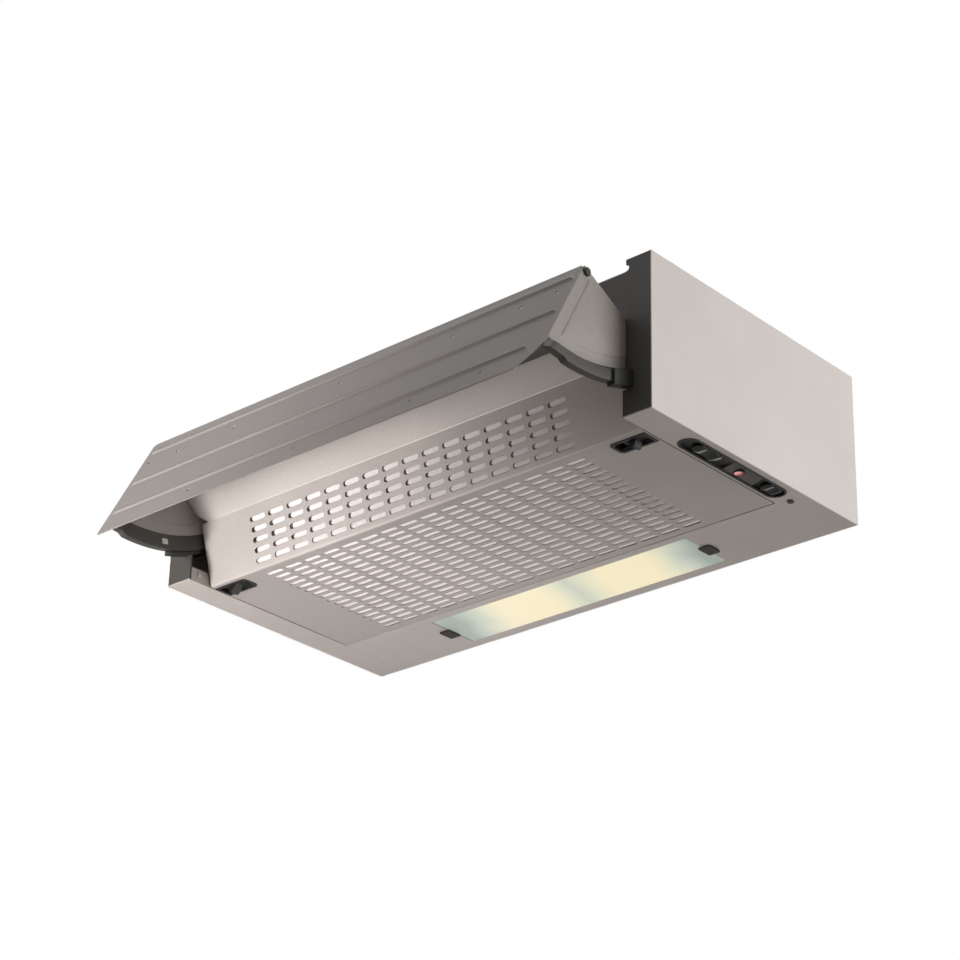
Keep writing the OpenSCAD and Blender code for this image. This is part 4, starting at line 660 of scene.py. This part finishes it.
def mat(name, length, thick, sag, place, node, material=white_felt, slack=0.12,
        left=(0.5, 12), right=(1.0, 6)):
    """A felt mat: two faces, joined at its front and rear edges and open between them at its left and right ends.

    Towards all four edges it thins over 4 mm as a quarter circle, and its faces come close low down.
    Its lower face bows up by sag times a flattened sine arch along the mat. The bow is slack in the middle, plus a
    share at the left and right end that falls off with a power of the distance. Both faces have lumps of 12 mm.
    place turns (x, along, height) to a point.
    """
    u, v = np.meshgrid(np.linspace(-1, 1, 190), np.linspace(0, 1, 90), indexing="ij")
    ease = lambda t: 0.5 - 0.5*np.cos(pi*t)
    u, v = np.sign(u)*(1 - (1 - np.abs(u))**1.15), ease(v)*0.25 + v*0.75
    cut, thinning = 0.3*mm, 4*mm
    x, a = u*(fleece_x - cut), cut + v*(length - 2*cut)
    edge = np.minimum(np.minimum(fleece_x - np.abs(x), a), length - a)
    full = np.sqrt(np.clip(1 - (1 - np.clip(edge/thinning, 0, 1))**2, 0, 1))
    lumps = np.sin(x/(12*mm) + 1.3*np.sin(a/(17*mm)))*np.sin(a/(9*mm) + 1.7*np.sin(x/(23*mm)))
    loose = slack + np.where(u > 0, right[0]*np.abs(u)**right[1], left[0]*np.abs(u)**left[1])
    bow = sag*np.abs(np.sin(pi*v))**0.7*loose
    middle = 0.1*thick
    low = middle - full*(middle - 0.02*mm) + full*(bow + 0.08*mm*(1 + lumps))*np.clip(edge/(10*mm), 0, 1)
    high = middle + full*(0.8*thick + 0.25*mm*lumps)
    faces = np.concatenate([place(x, a, low), place(x, a, np.minimum(high, 0.98*thick))[:, ::-1]], 1)
    piece = grid_piece(name, faces, round_columns=True)
    settle(piece, material, "grille", "fleece", node, crease=180)


bottom_from, bottom_lift = front + 35.4*mm, underside + 0.95*mm
mat("bottom_fleece", 171.4*mm, 7*mm, 2.4*mm,
    lambda x, a, h: np.stack([x, bottom_from + a, bottom_lift + h], -1), "bottom_filter")
lean, fold_y, face_from, face_lift = radians(16.9), front + 27.5*mm, 7*mm, 1.3*mm
# The front mat's greyer felt colour is painted shade; it is the same felt as the bottom mat.
mat("front_fleece", 53.2*mm, 5.95*mm, 1.8*mm,
    lambda x, a, h: np.stack([x, fold_y - (face_from + a)*sin(lean) + (face_lift + h)*cos(lean),
                              underside + (face_from + a)*cos(lean) + (face_lift + h)*sin(lean)], -1),
    "front_filter", felt("front polyester felt", "#cbc4c3"), 0.6, (1.0, 2), (0.2, 6))

# Latches: a shallow black cup in each front corner of the grille, with a slider whose knob hangs down.
# Cup and slider are moulded in black acetal and snap into the sheet.
latch_black = matt_plastic("black latch acetal", "#1a1816", 0.38)
dress(latch_black, "latch_cups", "left_latch_slider", "right_latch_slider")

# Lamp: a frosted pane lit by two candle bulbs in ceramic holders, under a bright aluminium reflector.
# Two black clips hold the pane; it glows warm below each bulb and greenish grey where it is darker.
lens_x, lens_y, lens_half = 158.5*mm, front + 256.75*mm, 31.25*mm
bulb_x, glow_width = 63.5*mm, 46*mm


def rounded(half_x, half_y, corner, inset, steps=8):
    """Outline of a rounded rectangle, drawn in by inset, as points counter-clockwise."""
    radius = max(corner - inset, 0)
    turn = np.linspace(0, pi/2, steps)
    quarter = np.stack([half_x - corner + radius*np.cos(turn), half_y - corner + radius*np.sin(turn)], -1)
    if inset > corner:
        quarter = quarter - (inset - corner)
    flip = quarter[::-1]
    return np.concatenate([quarter, flip*(-1, 1), -quarter, flip*(1, -1)])


def slab(name, half_x, half_y, corner, levels, place):
    """A moulded slab: rounded rectangles stacked by levels (inset, height); place moves its points."""
    return loft(name, place(np.stack([np.concatenate([rounded(half_x, half_y, corner, inset),
                                                      np.full((32, 1), height)], -1) for inset, height in levels])))


def frosted_pane(name):
    """Acid-etched glass over two bulbs: its glow fades with the square of the distance from each, in widths of 46 mm.

    The bulbs stand askew, so the glow leans by a quarter of a millimetre for each along the pane's depth.
    """
    material, tree = new_material(name)
    place = add(tree, "TexCoord").outputs["Object"]
    axes = add(tree, "SeparateXYZ", {0: place})
    from_middle = add(tree, "Math", {0: axes.outputs["Y"], 1: lens_y}, operation="SUBTRACT")
    leaned = add(tree, "Math", {0: from_middle.outputs[0], 1: 0.25, 2: axes.outputs["X"]}, operation="MULTIPLY_ADD")
    cloud = add(tree, "TexNoise", {"Vector": place, "Scale": 1/0.045, "Detail": 1.0})
    stirred = add(tree, "Math", {0: cloud.outputs["Fac"], 1: 24*mm, 2: leaned.outputs[0]}, operation="MULTIPLY_ADD")
    centred = add(tree, "Math", {0: stirred.outputs[0], 1: 17*mm}, operation="SUBTRACT")
    aside = add(tree, "Math", {0: centred.outputs[0]}, operation="ABSOLUTE")
    from_bulb = add(tree, "MapRange", {"Value": aside.outputs[0], "From Min": bulb_x - glow_width,
                                       "From Max": bulb_x + glow_width, "To Min": -1.0, "To Max": 1.0}, clamp=False)
    square = add(tree, "Math", {0: from_bulb.outputs[0], 1: from_bulb.outputs[0]}, operation="MULTIPLY")
    near = add(tree, "MapRange", {"Value": square.outputs[0], "From Min": 0.1, "From Max": 3.4,
                                  "To Min": 1.0, "To Max": 0.0})
    glow = add(tree, "ValToRGB", {"Fac": near.outputs[0]})
    marks = glow.color_ramp.elements
    marks[0].color, marks[1].color = linear("#7b857a"), linear("#e2d2ab")
    marks[1].position = 0.94
    marks.new(0.4).color = linear("#abae9f")
    marks.new(0.7).color = linear("#cac6aa")
    etch = add(tree, "TexNoise", {"Vector": place, "Scale": 1/0.0007, "Detail": 1.0})
    bump = add(tree, "Bump", {"Height": etch.outputs["Fac"], "Strength": 0.15, "Distance": 0.05*mm})
    glass = add(tree, "BsdfPrincipled", {"Base Color": linear("#6f7774"), "Roughness": 0.4,
                                         "Normal": bump.outputs[0], "Emission Color": glow.outputs["Color"],
                                         "Emission Strength": 1.0})
    glass.inputs["IOR"].default_value = 1.5
    add(tree, "OutputMaterial", {"Surface": glass.outputs[0]})
    return material


pane = slab("lamp_pane", lens_x, lens_half, 1.6*mm,
            [(1.2*mm, 3*mm), (0.3*mm, 2.9*mm), (0, 2.6*mm), (0, 0.7*mm), (0.25*mm, 0.2*mm), (0.8*mm, 0)],
            lambda p: p + (0, lens_y, underside))
settle(pane, frosted_pane("frosted lit glass"), "casing", "lamp_glass", "lamp_lens")


def glazed(name, colour, roughness=0.2):
    """Glazed ceramic: near white body with a clear glassy coat and faint clouding of 8 mm."""
    material, tree = new_material(name)
    place = add(tree, "TexCoord").outputs["Object"]
    cloud = add(tree, "TexNoise", {"Vector": place, "Scale": 1/0.008, "Detail": 2.0})
    tint = shades(tree, cloud.outputs["Fac"], colour, (0.93, 1.02))
    edge = add(tree, "Bevel", {"Radius": 0.5*mm}, samples=4)
    body = add(tree, "BsdfPrincipled", {"Base Color": tint, "Roughness": roughness, "Normal": edge.outputs[0]})
    body.inputs["Coat Weight"].default_value = 0.6
    body.inputs["Coat Roughness"].default_value = 0.08
    add(tree, "OutputMaterial", {"Surface": body.outputs[0]})
    return material


dress(glazed("glazed ceramic", "#ece8e0"), "lampholders")


def lit_bulb(name):
    """Opal glass bulb, lit: warm light that is strongest at its round end."""
    material, tree = new_material(name)
    place = add(tree, "TexCoord").outputs["Object"]
    cloud = add(tree, "TexNoise", {"Vector": place, "Scale": 1/0.02, "Detail": 1.0})
    glow = add(tree, "ValToRGB", {"Fac": cloud.outputs["Fac"]})
    glow.color_ramp.elements[0].color = linear("#ffe3ae")
    glow.color_ramp.elements[1].color = linear("#fff3d6")
    glass = add(tree, "BsdfPrincipled", {"Base Color": linear("#fdf6e6"), "Roughness": 0.25,
                                         "Emission Color": glow.outputs["Color"], "Emission Strength": 0.9})
    add(tree, "OutputMaterial", {"Surface": glass.outputs[0]})
    return material


dress(lit_bulb("lit opal glass"), "bulbs")


def bright_metal(name, colour, roughness, grain):
    """Rolled or turned metal: streaks along x at the grain's spacing in its roughness and bump."""
    material, tree = new_material(name)
    place = add(tree, "TexCoord").outputs["Object"]
    along_x = add(tree, "Mapping", {"Vector": place, "Scale": (1/(40*grain), 1/grain, 1/grain)})
    streaks = add(tree, "TexNoise", {"Vector": along_x.outputs[0], "Scale": 1.0, "Detail": 2.0})
    worn = spread_over(tree, streaks.outputs["Fac"], roughness - 0.06, roughness + 0.08)
    edge = add(tree, "Bevel", {"Radius": 0.3*mm}, samples=4)
    bump = add(tree, "Bump", {"Height": streaks.outputs["Fac"], "Strength": 0.06, "Distance": 0.05*mm,
                              "Normal": edge.outputs[0]})
    metal = add(tree, "BsdfPrincipled", {"Base Color": linear(colour), "Metallic": 1.0, "Roughness": worn,
                                         "Normal": bump.outputs[0]})
    add(tree, "OutputMaterial", {"Surface": metal.outputs[0]})
    return material


dress(bright_metal("rolled bright aluminium", "#d9dbdc", 0.22, 0.0008), "lamp_reflector")
dress(bright_metal("sintered bronze", "#a87f45", 0.45, 0.0005), "motor_bushes")
dress(latch_black, "left_lens_clip", "right_lens_clip")

# Controls: a black recess with two slide knobs and a red indicator between them, held by a dark screw.
# The knobs are glossy from use; each is a saddle between two thumb pads. A curved scoop lies round the indicator,
# its black plastic painted lighter grey as painted light.
recess_black = matt_plastic("black recess plastic", "#1b1a17", 0.34)
dress(recess_black, "control_bezel")
control_x, knob_half, knob_in, knob_out = 281.5*mm, 6.6*mm, 1.9*mm, 1.6*mm
polished_black = matt_plastic("black plastic polished by use", "#0f0e0d", 0.17, 0.5*mm, 0.05)


def slide_knob(name, from_y, to_y, body):
    """Rings along y of a bar with rounded sides; its outer face rises as two bell curves, the thumb pads."""
    v = (0.5 - 0.5*np.cos(np.linspace(0.05, pi - 0.05, 44)))[:, None]
    turn = np.linspace(0, 2*pi, 32, endpoint=False)[None]
    end = np.sqrt(1 - np.abs(2*v - 1)**7)
    pads = np.exp(-((v - 0.2)/0.13)**2) + np.exp(-((v - 0.8)/0.13)**2)
    round_off = lambda wave: np.sign(wave)*np.abs(wave)**0.55
    x = control_x + knob_half*end*round_off(np.cos(turn))
    height = np.where(np.sin(turn) > 0, knob_in*end, knob_out*end*(0.3 + 0.7*pads))
    z = underside + 0.5*mm + height*round_off(np.sin(turn))
    y = front + from_y + (to_y - from_y)*v + 0*turn
    settle(loft(name + "_knob", np.stack([x, y, z], -1)), polished_black, body, "black_plastic", name)


slide_knob("fan_slider", 81*mm, 115*mm, "fan_switch")
slide_knob("light_slider", 180*mm, 202*mm, "light_switch")
scoop_half, scoop_foot, scoop_rise, scoop_top = 8.3*mm, 0.25*mm, 2.2*mm, 2.58*mm
share = np.linspace(-1, 1, 24)
arch = 0.5 - 0.5*np.cos(pi*np.clip(0.62*(share + 1), 0, 1))
scoop = np.stack([np.append(share, (1, -1))*scoop_half + control_x,
                  np.append(scoop_foot + scoop_rise*arch, (scoop_top, scoop_top)) + underside], -1)
scoop = np.stack([np.insert(scoop, 1, front + y*mm, axis=1) for y in (131, 131.3, 172.7, 173)])
# Painted light: the scoop is black plastic like the recess, coloured dark grey for the light that falls on it.
scoop_plastic = matt_plastic("black scoop plastic", "#4a4641", 0.42)
settle(loft("indicator_scoop", scoop), scoop_plastic, "casing", "black_plastic")
indicator_x, indicator_y = 278.875*mm, front + 147*mm
place = lambda a, b, c: np.stack([indicator_x + b, indicator_y + c, underside + a], -1)
along, radii = np.array([(4.6, 0), (4.6, 5.3), (0.2, 5.35), (-0.1, 5.2), (-0.1, 4.5), (0.4, 4.35), (0.4, 0)]).T*mm
settle(turned("indicator_body", along, radii, place), recess_black, "casing", "black_plastic", "indicator_lens")


def lit_lens(name):
    """Clear red plastic over a glow lamp: a painted highlight of bright pink along its front edge, dark red from 3 mm
    behind that.
    """
    material, tree = new_material(name)
    place = add(tree, "TexCoord").outputs["Object"]
    axes = add(tree, "SeparateXYZ", {0: place})
    near = add(tree, "MapRange", {"Value": axes.outputs["Y"], "From Min": indicator_y + 0.5*mm,
                                  "From Max": indicator_y - 2.5*mm, "To Min": 0.0, "To Max": 1.0})
    glow = add(tree, "ValToRGB", {"Fac": near.outputs[0]})
    glow.color_ramp.elements[0].color, glow.color_ramp.elements[1].color = linear("#3c0d12"), linear("#e0a4a6")
    plastic = add(tree, "BsdfPrincipled", {"Base Color": linear("#8c2a34"), "Roughness": 0.15,
                                           "Emission Color": glow.outputs["Color"], "Emission Strength": 0.8})
    plastic.inputs["IOR"].default_value = 1.49
    add(tree, "OutputMaterial", {"Surface": plastic.outputs[0]})
    return material


dome = np.linspace(0, pi/2, 10)
along, radii = 0.38*mm - 1.3*mm*np.sin(dome), 4.3*mm*np.cos(dome)
settle(turned("indicator_dome", np.append(along[0], along), np.append(0, radii), place, 40),
       lit_lens("clear red plastic"), "casing", "red_lens")
dress(matt_plastic("cream switch plastic", "#ddd8cc", 0.4), "switch_unit")
dress(matt_plastic("browned steel", "#2a2521", 0.35, 0.4*mm, 0.1), "panel_screw")

# Blower, outlet and electrics: housings moulded in dark plastic, a rubber-sheathed loom and a film capacitor.
housing_black = matt_plastic("black housing plastic", "#2b2b2b", 0.45)
dress(housing_black, "outlet_collar", "cable_gland", "inlet_guard")
housing_grey = matt_plastic("grey housing plastic", "#4b4b48", 0.5)
dress(housing_grey, "scroll_left", "scroll_right", "junction_box", "junction_lid", "left_damper", "right_damper")
dress(matt_plastic("grey impeller plastic", "#6b6a66", 0.45), "impeller")
dress(matt_plastic("sheathed rubber", "#33332f", 0.65, 0.4*mm, 0.1), "wiring_loom")
dress(matt_plastic("pale capacitor plastic", "#d8d4cd", 0.4), "motor_capacitor")
